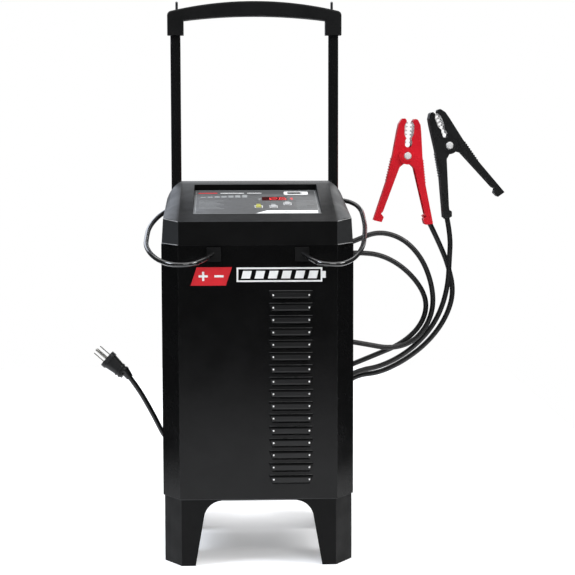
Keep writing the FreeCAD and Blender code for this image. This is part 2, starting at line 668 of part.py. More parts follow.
# ---------------------------------------------------------------------------- handle
def build_handle():
    for name, sign in SIDES:
        x = f"{sign} * dims.handle_spacing / 2"
        square = box(f"guide_square_{name}",
                     ("dims.guide_side", "dims.guide_side", "dims.guide_head - dims.guide_foot"),
                     (f"{x} - dims.guide_side / 2", "dims.handle_y - dims.guide_side / 2",
                      "dims.guide_foot"))
        bore = cylinder(f"guide_bore_{name}", "dims.tube_radius + dims.running_gap",
                        "dims.guide_head - dims.guide_foot + 2",
                        (x, "dims.handle_y", "dims.guide_foot - 1"))
        slot = box(f"guide_slot_{name}", ("5", "10", "dims.handle_travel + 6"),
                   (f"{x} - 2.5", "dims.handle_y + 4", "dims.tube_foot + 10 - dims.handle_travel - 3"))
        ear = box(f"guide_ear_{name}", ("14", "2", "dims.cabinet_top - 8 - dims.guide_foot"),
                  (f"{x} - 7 - {sign} * (dims.guide_side / 2 + 6)",
                   "dims.cabinet_depth", "dims.guide_foot"))
        seats = [seat for seat in GUIDE_SCREW_SEATS if seat[0] * sign > 0]
        drilled = feature(f"guide_holes_{name}", holes(SCREW_HOLE, seats, (0, 1, 0), 6))
        keep(cut(f"guide_{name}", fuse(f"guide_solid_{name}", square, ear), bore, slot, drilled),
             f"handle_guide_{name}")

        outside = cylinder(f"tube_outside_{name}", "dims.tube_radius", "dims.tube_head - dims.tube_foot",
                           (x, "dims.handle_y", "dims.tube_foot"))
        inside = cylinder(f"tube_inside_{name}", "dims.tube_radius - dims.tube_wall",
                          "dims.tube_head - dims.tube_foot + 2",
                          (x, "dims.handle_y", "dims.tube_foot - 1"))
        stop_hole = cylinder(f"tube_hole_{name}", "2.2", "12",
                             (x, "dims.handle_y + 2", "dims.tube_foot + 10"), ALONG_Y)
        keep(cut(f"tube_{name}", outside, inside, stop_hole), f"handle_tube_{name}")


def arch_radius(half_chord, rise):
    return (half_chord**2 + rise**2) / (2 * rise)


def build_grip():
    """The moulded grip: an arched bar between two sleeves that the tubes plug into."""
    centre, half, sleeve = dim("handle_spacing") / 2, 122.4, 11.6
    deep, y = dim("grip_depth"), dim("handle_y")
    foot, ends, top = 707.0, 739.5, 754.3
    crown = arch_radius(half, top - ends)
    inside_edge, inside_end, inside_top = centre - sleeve, 727.0, 733.3
    vault = arch_radius(inside_edge, inside_top - inside_end)
    bar = block((-half, y - deep / 2, foot), (half, y + deep / 2, top + 1))
    bar = bar.common(Part.makeCylinder(crown, 60, Vector(0, y - 30, top - crown), BACKWARD))
    bar = bar.makeFillet(6.5, [edge for edge in bar.Edges if edge.BoundBox.XLength < 0.1
                               and abs(edge.BoundBox.XMin) > half - 0.1
                               and edge.BoundBox.YLength > 1 and edge.BoundBox.ZMin > foot + 1])
    gap = block((-inside_edge, y - 30, foot - 1), (inside_edge, y + 30, inside_top + 1))
    gap = gap.common(Part.makeCylinder(vault, 60, Vector(0, y - 30, inside_top - vault), BACKWARD))
    bar = bar.cut(gap)
    long_edges = [edge for edge in bar.Edges
                  if edge.BoundBox.YLength < 0.1 and edge.BoundBox.ZMax > foot + 3]
    bar = bar.makeFillet(2.5, long_edges)
    sockets = [Part.makeCylinder(dim("tube_radius") + dim("running_gap"), dim("tube_head") - foot + 1,
                                 Vector(side * centre, y, foot - 1)) for _, side in SIDES]
    pins = [Part.makeCylinder(1.85, 16, Vector(side * 109.3, y + 4, 741)) for _, side in SIDES]
    seats = [(side * centre, y + deep / 2, 718) for _, side in SIDES]
    drilled = holes(SCREW_HOLE, seats, (0, 1, 0), deep / 2 - 7)
    keep(feature("grip_moulding", bar.cut(group(sockets + pins)).cut(drilled)), "handle_grip")

    posts = [Part.makeCylinder(1.8, 11.1, Vector(side * 109.3, y + 4, 741.5))
             .fuse(Part.makeSphere(1.8, Vector(side * 109.3, y + 4, 752.6))) for _, side in SIDES]
    keep(feature("post_pair", group(posts)), "clamp_posts")
    stop_y = y + dim("guide_side") / 2 + 0.5
    stop_seats = [(side * centre, stop_y, dim("tube_foot") + 10) for _, side in SIDES]
    held = [screws(screw(3.6, 2.2, 1.95, deep / 2 - 7.3), seats, (0, 1, 0)),
            screws(screw(4.2, 2.4, 2.1, 8), stop_seats, (0, 1, 0))]
    keep(feature("handle_screw_set", group(held)), "handle_screws")


# ---------------------------------------------------------------------------- wheels
def build_wheels():
    brackets = []
    for name, sign in SIDES:
        for piece, corners in (
                ("hub", [("-17.5", "dims.axle_radius + dims.running_gap"),
                         ("17.5", "dims.axle_radius + dims.running_gap"), ("17.5", "10"), ("3", "12"),
                         ("3", "34"), ("14.5", "35.5"), ("14.5", "dims.wheel_radius - 10"),
                         ("-14.5", "dims.wheel_radius - 10"), ("-14.5", "35.5"), ("-3", "34"),
                         ("-3", "12"), ("-17.5", "10")]),
                ("tyre", [("-14.5", "dims.wheel_radius - 10"), ("14.5", "dims.wheel_radius - 10"),
                          ("dims.wheel_width / 2", "dims.wheel_radius - 8"),
                          ("dims.wheel_width / 2", "dims.wheel_radius - 3.5"),
                          ("dims.wheel_width / 2 - 4.5", "dims.wheel_radius"),
                          ("-dims.wheel_width / 2 + 4.5", "dims.wheel_radius"),
                          ("-dims.wheel_width / 2", "dims.wheel_radius - 3.5"),
                          ("-dims.wheel_width / 2", "dims.wheel_radius - 8")])):
            wheel = body(f"{piece}_body_{name}")
            sketch = outline_sketch(wheel, "XY_Plane", corners)
            turned = wheel.newObject("PartDesign::Revolution", wheel.Name + "_turn")
            turned.Profile = sketch
            turned.ReferenceAxis = (sketch, ["H_Axis"])
            turned.Angle = 360
            wheel.setExpression("Placement.Base.x", f"{sign} * dims.wheel_track / 2")
            wheel.setExpression("Placement.Base.y", "dims.front_y + dims.axle_y")
            wheel.setExpression("Placement.Base.z", "dims.wheel_radius")
            if piece == "hub":
                doc.recompute()
                opening = circle_sketch(wheel, "YZ_Plane", "0", "23", "7.5")
                window = through_pocket(wheel, opening)
                doc.recompute()
                check_cut(turned, window)
                spokes = wheel.newObject("PartDesign::PolarPattern", wheel.Name + "_spokes")
                spokes.Originals = [window]
                spokes.Axis = (opening, ["N_Axis"])
                spokes.Angle = 360
                spokes.Occurrences = 6
                wheel.Tip = spokes
            keep(wheel, f"wheel_{piece}_{name}")

        inner = 82 * sign
        profile = [(200, 96, 0), (212, 60, 6), (223, 38, 8), (247, 38, 8),
                   (247, 62, 8), (214, 130, 8), (204, 172, 0), (200, 172, 0)]
        plate = slab([(y, z, r) for y, z, r in profile], min(inner, inner + 3 * sign), 3, "YZ")
        tab = slab([(inner, 96, 0), (inner - 22 * sign, 96, 0), (inner - 22 * sign, 172, 6),
                    (inner, 172, 0)][::sign], 200, 3)
        bracket = plate.fuse(tab)
        bracket = bracket.cut(rod(dim("axle_radius"), (inner - 10, dim("axle_y"), dim("wheel_radius")),
                                  (inner + 10, dim("axle_y"), dim("wheel_radius"))))
        brackets.append(bracket)

    keep(feature("axle_plates", group(brackets)), "axle_brackets")
    keep(cylinder("axle_bar", "dims.axle_radius", "dims.wheel_track + 40",
                  ("-dims.wheel_track / 2 - 20", "dims.axle_y", "dims.wheel_radius"), ALONG_X), "axle")
    caps = []
    for _, sign in SIDES:
        start = Vector(sign * (dim("wheel_track") / 2 + 18.5), dim("axle_y"), dim("wheel_radius"))
        cap = Part.makeCylinder(9, 3, start, SIDEWAYS * sign)
        cap = cap.fuse(Part.makeCone(7, 5.5, 5, start, SIDEWAYS * sign))
        caps.append(cap.cut(Part.makeCylinder(dim("axle_radius"), 1.5, start, SIDEWAYS * sign)))
    keep(feature("axle_cap_pair", group(caps)), "axle_caps")


# ---------------------------------------------------------------------------- cable wraps
WRAP_ROUTES = {
    "left": [(-58.5, -2.2, 414.5), (-69, -22, 409), (-86, -41.825, 403.8), (-110, -41.825, 403.5),
             (-128, -26, 408), (-140, 0, 415), (-147.4, 32, 423.5), (-147.4, 66, 432.5),
             (-146.5, 98, 441), (-141.5, 128, 449), (-134, 152, 456), (-125, 172, 461.5),
             (-114, 185, 464.5)],
    "right": [(58.5, -2.2, 414.5), (67, -22, 409.5), (81, -41.825, 404), (105, -41.825, 403),
              (121, -24, 407.5), (132, 0, 414.5), (139.5, 26, 422.5), (144, 58, 433),
              (147.4, 92, 444.5), (147.4, 126, 455.5), (146.5, 150, 463), (142, 168, 469),
              (132, 182.5, 473.5), (119, 189, 475.5)],
}


def build_wraps():
    mounts = []
    for name, sign in SIDES:
        keep(feature(f"wrap_rod_{name}", WRAP_RODS[name]), f"cable_wrap_{name}")
        mount = slab(rectangle(sign * 57.5 - 9.2, 404.5, sign * 57.5 + 9.2, 423, 1.5), -5, 5)
        mounts.append(mount.cut(WRAP_RODS[name]))
    keep(feature("wrap_mount_pair", group(mounts)), "wrap_mounts")


# ---------------------------------------------------------------------------- cords
# Each route is chosen by hand: where the cord runs free, one point a line of the list.
ROUTES = {
    "black_cable_upper": [
        (71, 228, 397), (88, 243, 398), (114, 252, 402), (144, 256, 412), (179, 257, 427),
        (216, 257, 417), (244, 257, 388), (259, 257, 350), (262, 257, 314), (250, 257, 283),
        (229, 257, 262), (198, 257, 254), (162, 257, 261), (126, 257, 267), (92, 257, 269),
        (58, 257, 268)],
    "black_cable_lower": [
        (44, 249.5, 188), (80, 251, 187), (116, 258, 200), (150, 264, 221), (184, 265, 226),
        (221, 264, 245), (252, 263, 273), (272.5, 263, 306), (283.5, 263, 345), (285.5, 263, 385),
        (287, 263, 418), (281.5, 263, 445)],
    "red_cable_upper": [
        (41, 228, 384), (58, 244, 385), (84, 257, 389), (116, 264, 393), (150, 266, 395),
        (185, 266, 392), (219, 266, 373), (246, 266, 342), (254, 266, 313), (242, 266, 283),
        (214, 266, 259), (180, 266, 245), (142, 269, 229), (106, 273, 216), (78, 273, 212),
        (56, 273, 212)],
    "red_cable_lower": [
        (44, 265.5, 130), (78, 267, 132), (107, 271, 160), (124, 273, 194), (150, 273, 213),
        (184, 273, 216), (221, 273, 234), (256, 273, 261), (282, 273, 296), (294, 273, 335),
        (285, 273, 376), (270, 272, 411), (257, 270, 437)],
    "mains_cord_upper": [(-28, 223, 262), (-28, 235, 241), (-28.5, 240, 216), (-28.5, 240, 190)],
    "mains_cord_lower": [
        (-70, 233, 133), (-88, 232.5, 129), (-105, 229, 126), (-120, 221, 126.5), (-130.5, 208, 134.5),
        (-137, 195, 149.5), (-145, 184, 169), (-155, 175, 190), (-166, 168, 211),
        (-178, 164, 228.5)],
}
OUTLETS = {"black_cable_upper": 30, "red_cable_upper": 30, "mains_cord_upper": 30}
COILS = {
    "black_cable_coil": ((44, 224.25), 253.25, 15.0, 32.5, 47.5, (75, 195, 315)),
    "red_cable_coil": ((44, 168.25), 269.25, 15.0, 32.5, 47.5, (75, 195, 315)),
    "mains_cord_coil": ((-70, 170), 236.5, 21.0, 31.0, 45.0, (45, 165, 285)),
}
CORD_RADIUS = {name: dim("mains_radius" if name.startswith("mains") else "cable_radius")
               for name in ROUTES}


def heading(start, end):
    return (Vector(*end) - Vector(*start)).normalize()


def relief_root(name):
    """Where a strain relief's ball sits, one relief's length back along the cord's first run."""
    route = ROUTES[name]
    return Vector(*route[0]) - heading(route[0], route[1]) * OUTLETS[name]


def ribbed_boot(ball, tip, length):
    """A ball that tapers to a tip along +Z, with flexing grooves round the taper."""
    rim = [Vector(ball, 0, 0)]
    for i in range(4):
        start = 6 + 5 * i
        for along, deep in ((start, 0), (start + 0.6, 1), (start + 1.8, 1), (start + 2.4, 0)):
            rim.append(Vector(ball + (tip - ball) * along / length - deep, 0, along))
    rim += [Vector(tip, 0, length), Vector(0, 0, length), Vector(0, 0, -ball)]
    slant = ball * math.sqrt(0.5)
    edges = [Part.LineSegment(a, b).toShape() for a, b in zip(rim, rim[1:])]
    edges.append(Part.Arc(rim[-1], Vector(slant, 0, -slant), rim[0]).toShape())
    return Part.Face(Part.Wire(edges)).revolve(Vector(), UPWARD, 360)


def strain_relief(name):
    """A snap-in strain relief: collars each side of the panel, a ball and a long taper."""
    root, ahead = relief_root(name), heading(*ROUTES[name][:2])
    neck = Part.makeCylinder(6, root.y - REAR_SKIN + 3, Vector(root.x, REAR_SKIN - 3, root.z), BACKWARD)
    collar = Part.makeCylinder(8.5, 2.2, Vector(root.x, REAR_SKIN - 2.2, root.z), BACKWARD)
    flange = Part.makeCone(11.5, 10.5, 3, Vector(root.x, DEPTH, root.z), BACKWARD)
    boot = moved(ribbed_boot(8.3, CORD_RADIUS[name] + 1.5, OUTLETS[name]),
                 Placement(root, Rotation(UPWARD, ahead)))
    return boot.fuse([neck, collar, flange])


def build_cords():
    reliefs = [strain_relief(name) for name in OUTLETS]
    keep(feature("relief_set", group(reliefs)), "strain_reliefs")
    for name, route in ROUTES.items():
        keep(feature(name + "_tube", bent_tube(name, route, CORD_RADIUS[name])), name)
    ties = []
    for name, ((x, z), front, thick, inner, outer, tied) in COILS.items():
        section = [Vector(inner, front, 0), Vector(outer, front, 0),
                   Vector(outer, front + thick, 0), Vector(inner, front + thick, 0)]
        ring = Part.Face(Part.makePolygon(section + section[:1])).revolve(Vector(), BACKWARD, 360)
        keep(feature(name + "_ring", ring.translate(Vector(x, 0, z))), name)
        for angle in tied:
            band = block((-4, front - 0.9, inner - 1.3), (4, front + thick + 0.9, outer + 1))
            band = band.cut(block((-5, front - 0.05, inner - 0.4), (5, front + thick + 0.05, outer + 0.1)))
            band.rotate(Vector(), BACKWARD, angle)
            ties.append(band.translate(Vector(x, 0, z)))
    keep(feature("tie_set", group(ties)), "coil_ties")


# ---------------------------------------------------------------------------- clamps
LEVER = [(0, 10, 0), (4.6, 14.5, 2), (5.2, 20, 2.5), (3.8, 25.5, 1.5), (6.6, 31, 3), (7.2, 44, 4),
         (4.2, 50, 1), (6.5, 54, 2), (11, 53.5, 3), (15.5, 46, 3), (17.2, 36, 3), (21.5, 0, 20),
         (27.5, -36, 20), (43.5, -96.5, 0.8), (31.5, -98.5, 1.2), (29, -91, 1.5), (33.2, -86, 0.8),
         (30.6, -83, 1.2), (17.5, -40, 10), (10.5, -17, 4), (0, -8, 0)]
LEVER_SPINE = [(8, 51), (13.4, 45), (15, 35.7), (19.3, 0), (25.3, -35.5), (38.5, -88)]
JAW = [(6, 15, 0.5), (3, 19, 1), (2.6, 49, 0), (14, 49, 0), (19, 15, 0)]
PIVOT_EAR = 12.5
PIN = 3.0
CLAMPS = {
    "red": {"pivot": (223, 270, 536), "lean": 3.5, "closing": 0.0, "fixed": 1, "cord": "red_cable_lower"},
    "black": {"pivot": (283, 263, 551), "lean": -22.9, "closing": 2.9, "fixed": -1,
              "cord": "black_cable_lower"},
}


def lever(half_depth, wall, bore):
    """One lever, drawn as the right-hand one: two cheeks, a spine along its back, solid ends."""
    whole = slab(LEVER, -half_depth, 2 * half_depth)
    ear = Part.makeCylinder(PIVOT_EAR, 2 * half_depth, Vector(0, -half_depth, 0), BACKWARD)
    hollow_half = half_depth - wall
    hollow = lever_hollow(hollow_half)
    ribs = []
    for i in range(9):
        share = i / 8
        spot = Vector(22.3 + 5.2 * share, 0, -6 - 31 * share)
        ribs.append(Part.makeCylinder(1.5, 2 * half_depth - 5, spot - BACKWARD * (half_depth - 2.5),
                                      BACKWARD))
    pin_hole = Part.makeCylinder(bore, 60, Vector(0, -30, 0), BACKWARD)
    return whole.fuse([ear] + ribs).cut(hollow).cut(pin_hole)


def pin_collar(half_depth):
    """Raised rings on both outer cheeks, round the pin's heads."""
    rings = [Part.makeCylinder(8.4, 1.9, Vector(0, side * (half_depth - 1), 0), BACKWARD * side)
             .cut(Part.makeCylinder(6.3, 4, Vector(0, side * (half_depth - 2), 0), BACKWARD * side))
             for _, side in SIDES]
    return rings


def lever_hollow(half_depth):
    reach = [(x, z, 0) for x, z in LEVER_SPINE] + [(-30, -88, 0), (-30, 51, 0)]
    return slab(reach, -half_depth, 2 * half_depth)


def jaw(half_depth):
    """A toothed steel insert that fits between the cheeks against the lever's spine."""
    plate = slab(JAW, -half_depth, 2 * half_depth).common(lever_hollow(half_depth + 1))
    for i in range(5):
        z = 22.5 + 5.6 * i
        bite = [(0, z - 2.5, 0), (5.2, z - 1.2, 0), (5.2, z + 1.2, 0), (0, z + 2.5, 0)]
        plate = plate.cut(slab(bite, -half_depth - 1, 2 * half_depth + 2))
    return plate


def pivot_pin(half_depth):
    pin = Part.makeCylinder(PIN, 2 * half_depth, Vector(0, -half_depth, 0), BACKWARD)
    heads = [Part.makeCone(5.6, 4.2, 2, Vector(0, side * half_depth, 0), BACKWARD * side)
             for _, side in SIDES]
    return pin.fuse(heads)


def lever_spring():
    """A torsion spring round the pin, with the leg that bears on the fixed lever."""
    turns = [Part.makeTorus(6, 1.05, Vector(0, 2 * i - 5, 0), BACKWARD) for i in range(6)]
    leg = rod(0.9, (5.6, 5, -2), (24.1, 5, -34))
    return turns[0].fuse(turns[1:] + [leg])


def build_clamps():
    for colour, clamp in CLAMPS.items():
        centre = Placement(Vector(*clamp["pivot"]), Rotation(BACKWARD, clamp["lean"]))
        fixed = clamp["fixed"]
        pieces = {"fixed": (fixed, lever(13.0, 2.2, PIN).fuse(pin_collar(13.0)), jaw(7.6)),
                  "moving": (-fixed, lever(10.2, 2.2, PIN + 0.06), jaw(7.0))}
        for role, (side, arm, insert) in pieces.items():
            turn = Placement(Vector(), Rotation(BACKWARD, -side * clamp["closing"]))
            if side < 0:
                arm, insert = (shape.mirror(Vector(), SIDEWAYS) for shape in (arm, insert))
            arm = moved(arm, centre.multiply(turn))
            if role == "fixed":
                route = ROUTES[clamp["cord"]]
                ahead = heading(*route[-2:])
                arm = arm.fuse(Part.makeCone(5.2, 6.2, 16, Vector(*route[-1]), ahead))
            keep(feature(f"{colour}_{role}_arm", arm), f"{colour}_clamp_{role}_lever")
            keep(feature(f"{colour}_{role}_insert", moved(insert, centre.multiply(turn))),
                 f"{colour}_clamp_{role}_jaw")
        spring = lever_spring()
        if fixed < 0:
            spring = spring.mirror(Vector(), SIDEWAYS)
        turn = Placement(Vector(), Rotation(BACKWARD, -fixed * clamp["closing"]))
        hinge = group([moved(pivot_pin(13.0), centre), moved(spring, centre.multiply(turn))])
        keep(feature(f"{colour}_pin_and_spring", hinge), f"{colour}_clamp_pivot")


# ---------------------------------------------------------------------------- plug
PLUG_FACE = Vector(-209.6, 168, 254.8)
PLUG_AXIS = Vector(-0.751, 0.142, 0.645).normalize()
PLUG_TURN = -10.0
BLADE_LINE = -5.0
GROUND_OFFSET = 11.9
BLADE_SPACING = 12.7


def plug_placement():
    across = Vector(0.685, 0, 0.728)
    across = (across - PLUG_AXIS * across.dot(PLUG_AXIS)).normalize()
    turn = Rotation(across, PLUG_AXIS.cross(across), PLUG_AXIS, "ZXY")
    return Placement(PLUG_FACE, turn.multiply(Rotation(UPWARD, -PLUG_TURN)))


def build_plug():
    seat = plug_placement()
    head = slab(rectangle(-12.6, -11.6, 12.6, 11.6, 7), -6, 6, "XY")
    sections = [rounded_wire(rectangle(-w, -h, w, h, r), "XY")
                for w, h, r in ((11.4, 10.6, 6.5), (7.6, 7.6, 5.5))]
    sections[0].translate(Vector(0, 0, -6))
    sections[1].translate(Vector(0, 0, -33))
    hull = head.fuse(Part.makeLoft(sections, True, True))
    for back, size in ((-25, 9.8), (-30, 9.4)):
        hull = hull.fuse(slab(rectangle(-size, -size, size, size, 6), back, 2.4, "XY"))
    blade = rectangle(-0.75, -3.15, 0.75, 3.15, 0.3)
    pins = [slab([(x + side * BLADE_SPACING / 2, y + BLADE_LINE, r) for x, y, r in blade], -5, 23, "XY")
            for _, side in SIDES]
    ground_spot = Vector(0, BLADE_LINE + GROUND_OFFSET, -5)
    pins.append(Part.makeCylinder(2.4, 24, ground_spot).fuse(
        Part.makeSphere(2.4, ground_spot + UPWARD * 24)))
    hull = moved(hull, seat)
    route = ROUTES["mains_cord_lower"]
    hull = hull.fuse(Part.makeCone(5, 6.6, 14, Vector(*route[-1]), heading(*route[-2:])))
    metal = group(moved(pin, seat) for pin in pins)
    keep(feature("plug_moulding", hull.cut(metal)), "plug_body")
    keep(feature("plug_metal", metal), "plug_pins")


# ---------------------------------------------------------------------------- screws
def build_screws():
    pan = screw(3.6, 2.2, SCREW_HOLE - 0.1, 6)
    behind = (0, 1, 0)
    rear = REAR_SCREW_SEATS + HEAD_SCREW_SEATS + GUIDE_SCREW_SEATS
    inside = [(x, y, BOTTOM + 1.5) for x, y, _ in FOOT_SCREW_SEATS]
    both = group([screws(pan, rear, behind), screws(pan, inside, UPWARD)])
    keep(feature("screw_set", both), "cabinet_screws")


WRAP_RODS = {name: bent_tube(f"cable_wrap_{name}", WRAP_ROUTES[name], dim("wrap_rod"))
             for name, _ in SIDES}
build_cabinet()
build_rear_panel()
build_base_pan()
build_front_foot()
build_head()
build_panel()
build_electrics()
build_handle()
build_grip()
build_wheels()
build_wraps()
build_cords()
build_clamps()
build_plug()
build_screws()


# ---------------------------------------------------------------------------- write out
doc.recompute()
for item in doc.Objects:
    if {"Invalid", "Error"} & set(item.State):
        raise RuntimeError(f"{item.Name} ({item.Label}) is {item.State}")
os.makedirs("parts", exist_ok=True)
for stale in os.listdir("parts"):
    os.remove(os.path.join("parts", stale))
for item in SUBPARTS:
    if item.Shape.isNull() or not item.Shape.isValid():
        raise RuntimeError(f"{item.Label} has no valid shape")
    item.Shape.exportStep(f"parts/{item.Label}.step")
    print(f"{item.Label}: {len(item.Shape.Solids)} solid(s), {item.Shape.Volume / 1000:.1f} cm3")
print(len(SUBPARTS), "sub-parts")
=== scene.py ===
import math

import bmesh
import bpy
from mathutils import Matrix, Vector


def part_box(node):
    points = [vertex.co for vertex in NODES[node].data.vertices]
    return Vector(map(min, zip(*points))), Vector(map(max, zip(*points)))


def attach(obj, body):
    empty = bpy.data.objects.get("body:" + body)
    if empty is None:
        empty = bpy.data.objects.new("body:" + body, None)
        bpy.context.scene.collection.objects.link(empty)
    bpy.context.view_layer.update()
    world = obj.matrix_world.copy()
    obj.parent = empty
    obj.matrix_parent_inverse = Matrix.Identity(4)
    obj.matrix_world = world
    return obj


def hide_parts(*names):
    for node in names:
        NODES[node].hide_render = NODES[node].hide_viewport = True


# Wheeled car battery charger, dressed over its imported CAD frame. Metres, +Z up, -Y is the front.
# Lengths written below in millimetres are turned into metres by at() and MM.

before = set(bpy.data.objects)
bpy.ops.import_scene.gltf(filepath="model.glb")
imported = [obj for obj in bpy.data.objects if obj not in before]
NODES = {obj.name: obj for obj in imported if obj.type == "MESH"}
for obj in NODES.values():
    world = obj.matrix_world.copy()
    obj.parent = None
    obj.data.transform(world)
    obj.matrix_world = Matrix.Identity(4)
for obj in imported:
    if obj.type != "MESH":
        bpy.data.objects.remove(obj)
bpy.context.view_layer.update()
SCENE = bpy.context.scene
MM = 0.001
CABINET_DEPTH = 200
FRONT_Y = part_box("rear_panel")[1].y - CABINET_DEPTH * MM


def at(x, y, z):
    """A point in metres from millimetres, with Y counted from the cabinet's front face."""
    return Vector((x * MM, FRONT_Y + y * MM, z * MM))


def placed(name, data):
    """A new object with this data, in the scene."""
    thing = bpy.data.objects.new(name, data)
    SCENE.collection.objects.link(thing)
    return thing


# ---------------------------------------------------------------------------- materials
class Nodes:
    """A material's node tree with short calls for the nodes used here."""

    def __init__(self, name):
        self.material = bpy.data.materials.new(name)
        self.material.use_nodes = True
        self.tree = self.material.node_tree
        self.shader = self.tree.nodes["Principled BSDF"]
        self.place = self.add("ShaderNodeTexCoord").outputs["Object"]

    def add(self, kind, **settings):
        node = self.tree.nodes.new(kind)
        for key, value in settings.items():
            setattr(node, key, value)
        return node

    def link(self, start, end):
        self.tree.links.new(start, end)

    def paint(self, colour, roughness=None):
        """Feed the surface's colour and, where given, its roughness."""
        self.link(colour, self.shader.inputs["Base Color"])
        if roughness is not None:
            self.link(roughness, self.shader.inputs["Roughness"])

    def axes(self, vector=None):
        """The X, Y and Z of a vector, the surface's own place unless another is given."""
        node = self.add("ShaderNodeSeparateXYZ")
        self.link(vector or self.place, node.inputs["Vector"])
        return node.outputs

    def unsigned(self, value):
        node = self.add("ShaderNodeMath", operation="ABSOLUTE")
        self.link(value, node.inputs[0])
        return node.outputs["Value"]

    def stretched(self, scale):
        """Object coordinates scaled unevenly, for brushed grain."""
        node = self.add("ShaderNodeMapping")
        node.inputs["Scale"].default_value = scale
        self.link(self.place, node.inputs["Vector"])
        return node.outputs["Vector"]

    def noise(self, scale, detail=3.0, rough=0.5, where=None):
        node = self.add("ShaderNodeTexNoise")
        node.inputs["Scale"].default_value = scale
        node.inputs["Detail"].default_value = detail
        node.inputs["Roughness"].default_value = rough
        self.link(where or self.place, node.inputs["Vector"])
        return node.outputs["Fac"]

    def spots(self, scale):
        node = self.add("ShaderNodeTexVoronoi")
        node.inputs["Scale"].default_value = scale
        self.link(self.place, node.inputs["Vector"])
        return node.outputs["Distance"]

    def span(self, value, low, high, start=0.0, end=1.0):
        """value between start and end becomes low to high."""
        node = self.add("ShaderNodeMapRange")
        for socket, number in (("From Min", start), ("From Max", end), ("To Min", low), ("To Max", high)):
            node.inputs[socket].default_value = number
        self.link(value, node.inputs["Value"])
        return node.outputs["Result"]

    def eased(self, value, low, high, start, end):
        """value between start and end becomes low to high, smoothly at both ends."""
        node = self.span(value, low, high, start, end).node
        node.interpolation_type = "SMOOTHERSTEP"
        return node.outputs["Result"]

    def times(self, first, second):
        node = self.add("ShaderNodeMath", operation="MULTIPLY")
        for socket, value in zip(node.inputs, (first, second)):
            if isinstance(value, float):
                socket.default_value = value
            else:
                self.link(value, socket)
        return node.outputs["Value"]

    def blend(self, share, first, second):
        """Two colours mixed by a share from 0 to 1."""
        node = self.add("ShaderNodeMix", data_type="RGBA")
        self.link(share, node.inputs["Factor"])
        for socket, value in ((node.inputs[6], first), (node.inputs[7], second)):
            if isinstance(value, tuple):
                socket.default_value = (*value, 1.0)
            else:
                self.link(value, socket)
        return node.outputs[2]

    def edges(self, radius, low, high):
        """1 along sharp edges, 0 on flats; low and high bound the softened normal's cosine."""
        soft = self.add("ShaderNodeBevel", samples=4)
        soft.inputs["Radius"].default_value = radius
        plain = self.add("ShaderNodeNewGeometry")
        facing = self.add("ShaderNodeVectorMath", operation="DOT_PRODUCT")
        self.link(soft.outputs["Normal"], facing.inputs[0])
        self.link(plain.outputs["Normal"], facing.inputs[1])
        return self.span(facing.outputs["Value"], 1.0, 0.0, low, high)

    def bump(self, height, distance, strength=1.0):
        node = self.add("ShaderNodeBump")
        node.inputs["Distance"].default_value = distance
        node.inputs["Strength"].default_value = strength
        self.link(height, node.inputs["Height"])
        self.link(node.outputs["Normal"], self.shader.inputs["Normal"])

    def set(self, **values):
        for key, value in values.items():
            self.shader.inputs[key.replace("_", " ")].default_value = value


def grey(level, warm=1.0):
    """A grey of this level, warmer above 1 and cooler below."""
    return (level * warm, level, level / warm)


def painted_steel(name, level, rough, coat=0.0, wear=0.25, mirror=0.26, hood_highlight=None):
    """Powder coat: faint orange peel, uneven gloss, edges rubbed a little lighter.

    hood_highlight is the level of a painted highlight on what stands out from the cabinet's front, the
    louvre hoods.
    """
    m = Nodes(name)
    cloud = m.noise(9, 4)
    base = m.blend(m.span(cloud, 0, 1, 0.3, 0.7), grey(level * 0.82), grey(level * 1.2))
    fleck = m.span(m.noise(2600, 2), 0, 1, 0.62, 0.8)
    base = m.blend(m.times(fleck, 0.5), base, grey(level * 2.4))
    # painted highlight: faces more than 2 mm in front of the cabinet's front, the louvre hoods, are paler
    # for the light they catch
    if hood_highlight:
        hood_highlight_mask = m.span(m.axes()["Y"], 1, 0, FRONT_Y - 4.5 * MM, FRONT_Y - 2 * MM)
        base = m.blend(hood_highlight_mask, base, grey(hood_highlight))
    rubbed = m.times(m.edges(0.0012, 0.55, 0.985), m.span(m.noise(130, 4), 0, wear, 0.4, 0.75))
    smear = m.noise(26, 5, 0.6)
    m.paint(m.blend(rubbed, base, grey(0.10)), m.span(smear, rough * 0.82, rough * 1.25, 0.3, 0.7))
    m.bump(m.noise(1500, 2, 0.4), 0.00005, 0.5)
    m.set(Specular_IOR_Level=mirror, Coat_Weight=coat, Coat_Roughness=0.12)
    return m.material


def moulded_plastic(name, colour, rough, grain=900, depth=0.00006, wear=0.3, scuff=(0.14, 0.14, 0.14),
                    mirror=0.3):
    """Moulded plastic: spark-eroded grain, cloudy gloss and lightly scuffed edges."""
    m = Nodes(name)
    dark = tuple(c * 0.86 for c in colour)
    light = tuple(min(1.0, c * 1.14) for c in colour)
    base = m.blend(m.span(m.noise(14, 4), 0, 1, 0.3, 0.7), dark, light)
    scuffed = m.times(m.edges(0.001, 0.5, 0.98), m.span(m.noise(160, 4), 0, wear, 0.42, 0.8))
    m.paint(m.blend(scuffed, base, scuff), m.span(m.noise(34, 5, 0.6), rough * 0.85, rough * 1.18, 0.3, 0.7))
    pits = m.add("ShaderNodeMath", operation="ADD")
    m.link(m.noise(grain, 3, 0.6), pits.inputs[0])
    m.link(m.spots(grain * 0.8), pits.inputs[1])
    m.bump(pits.outputs["Value"], depth, 0.5)
    m.set(Specular_IOR_Level=mirror)
    return m.material


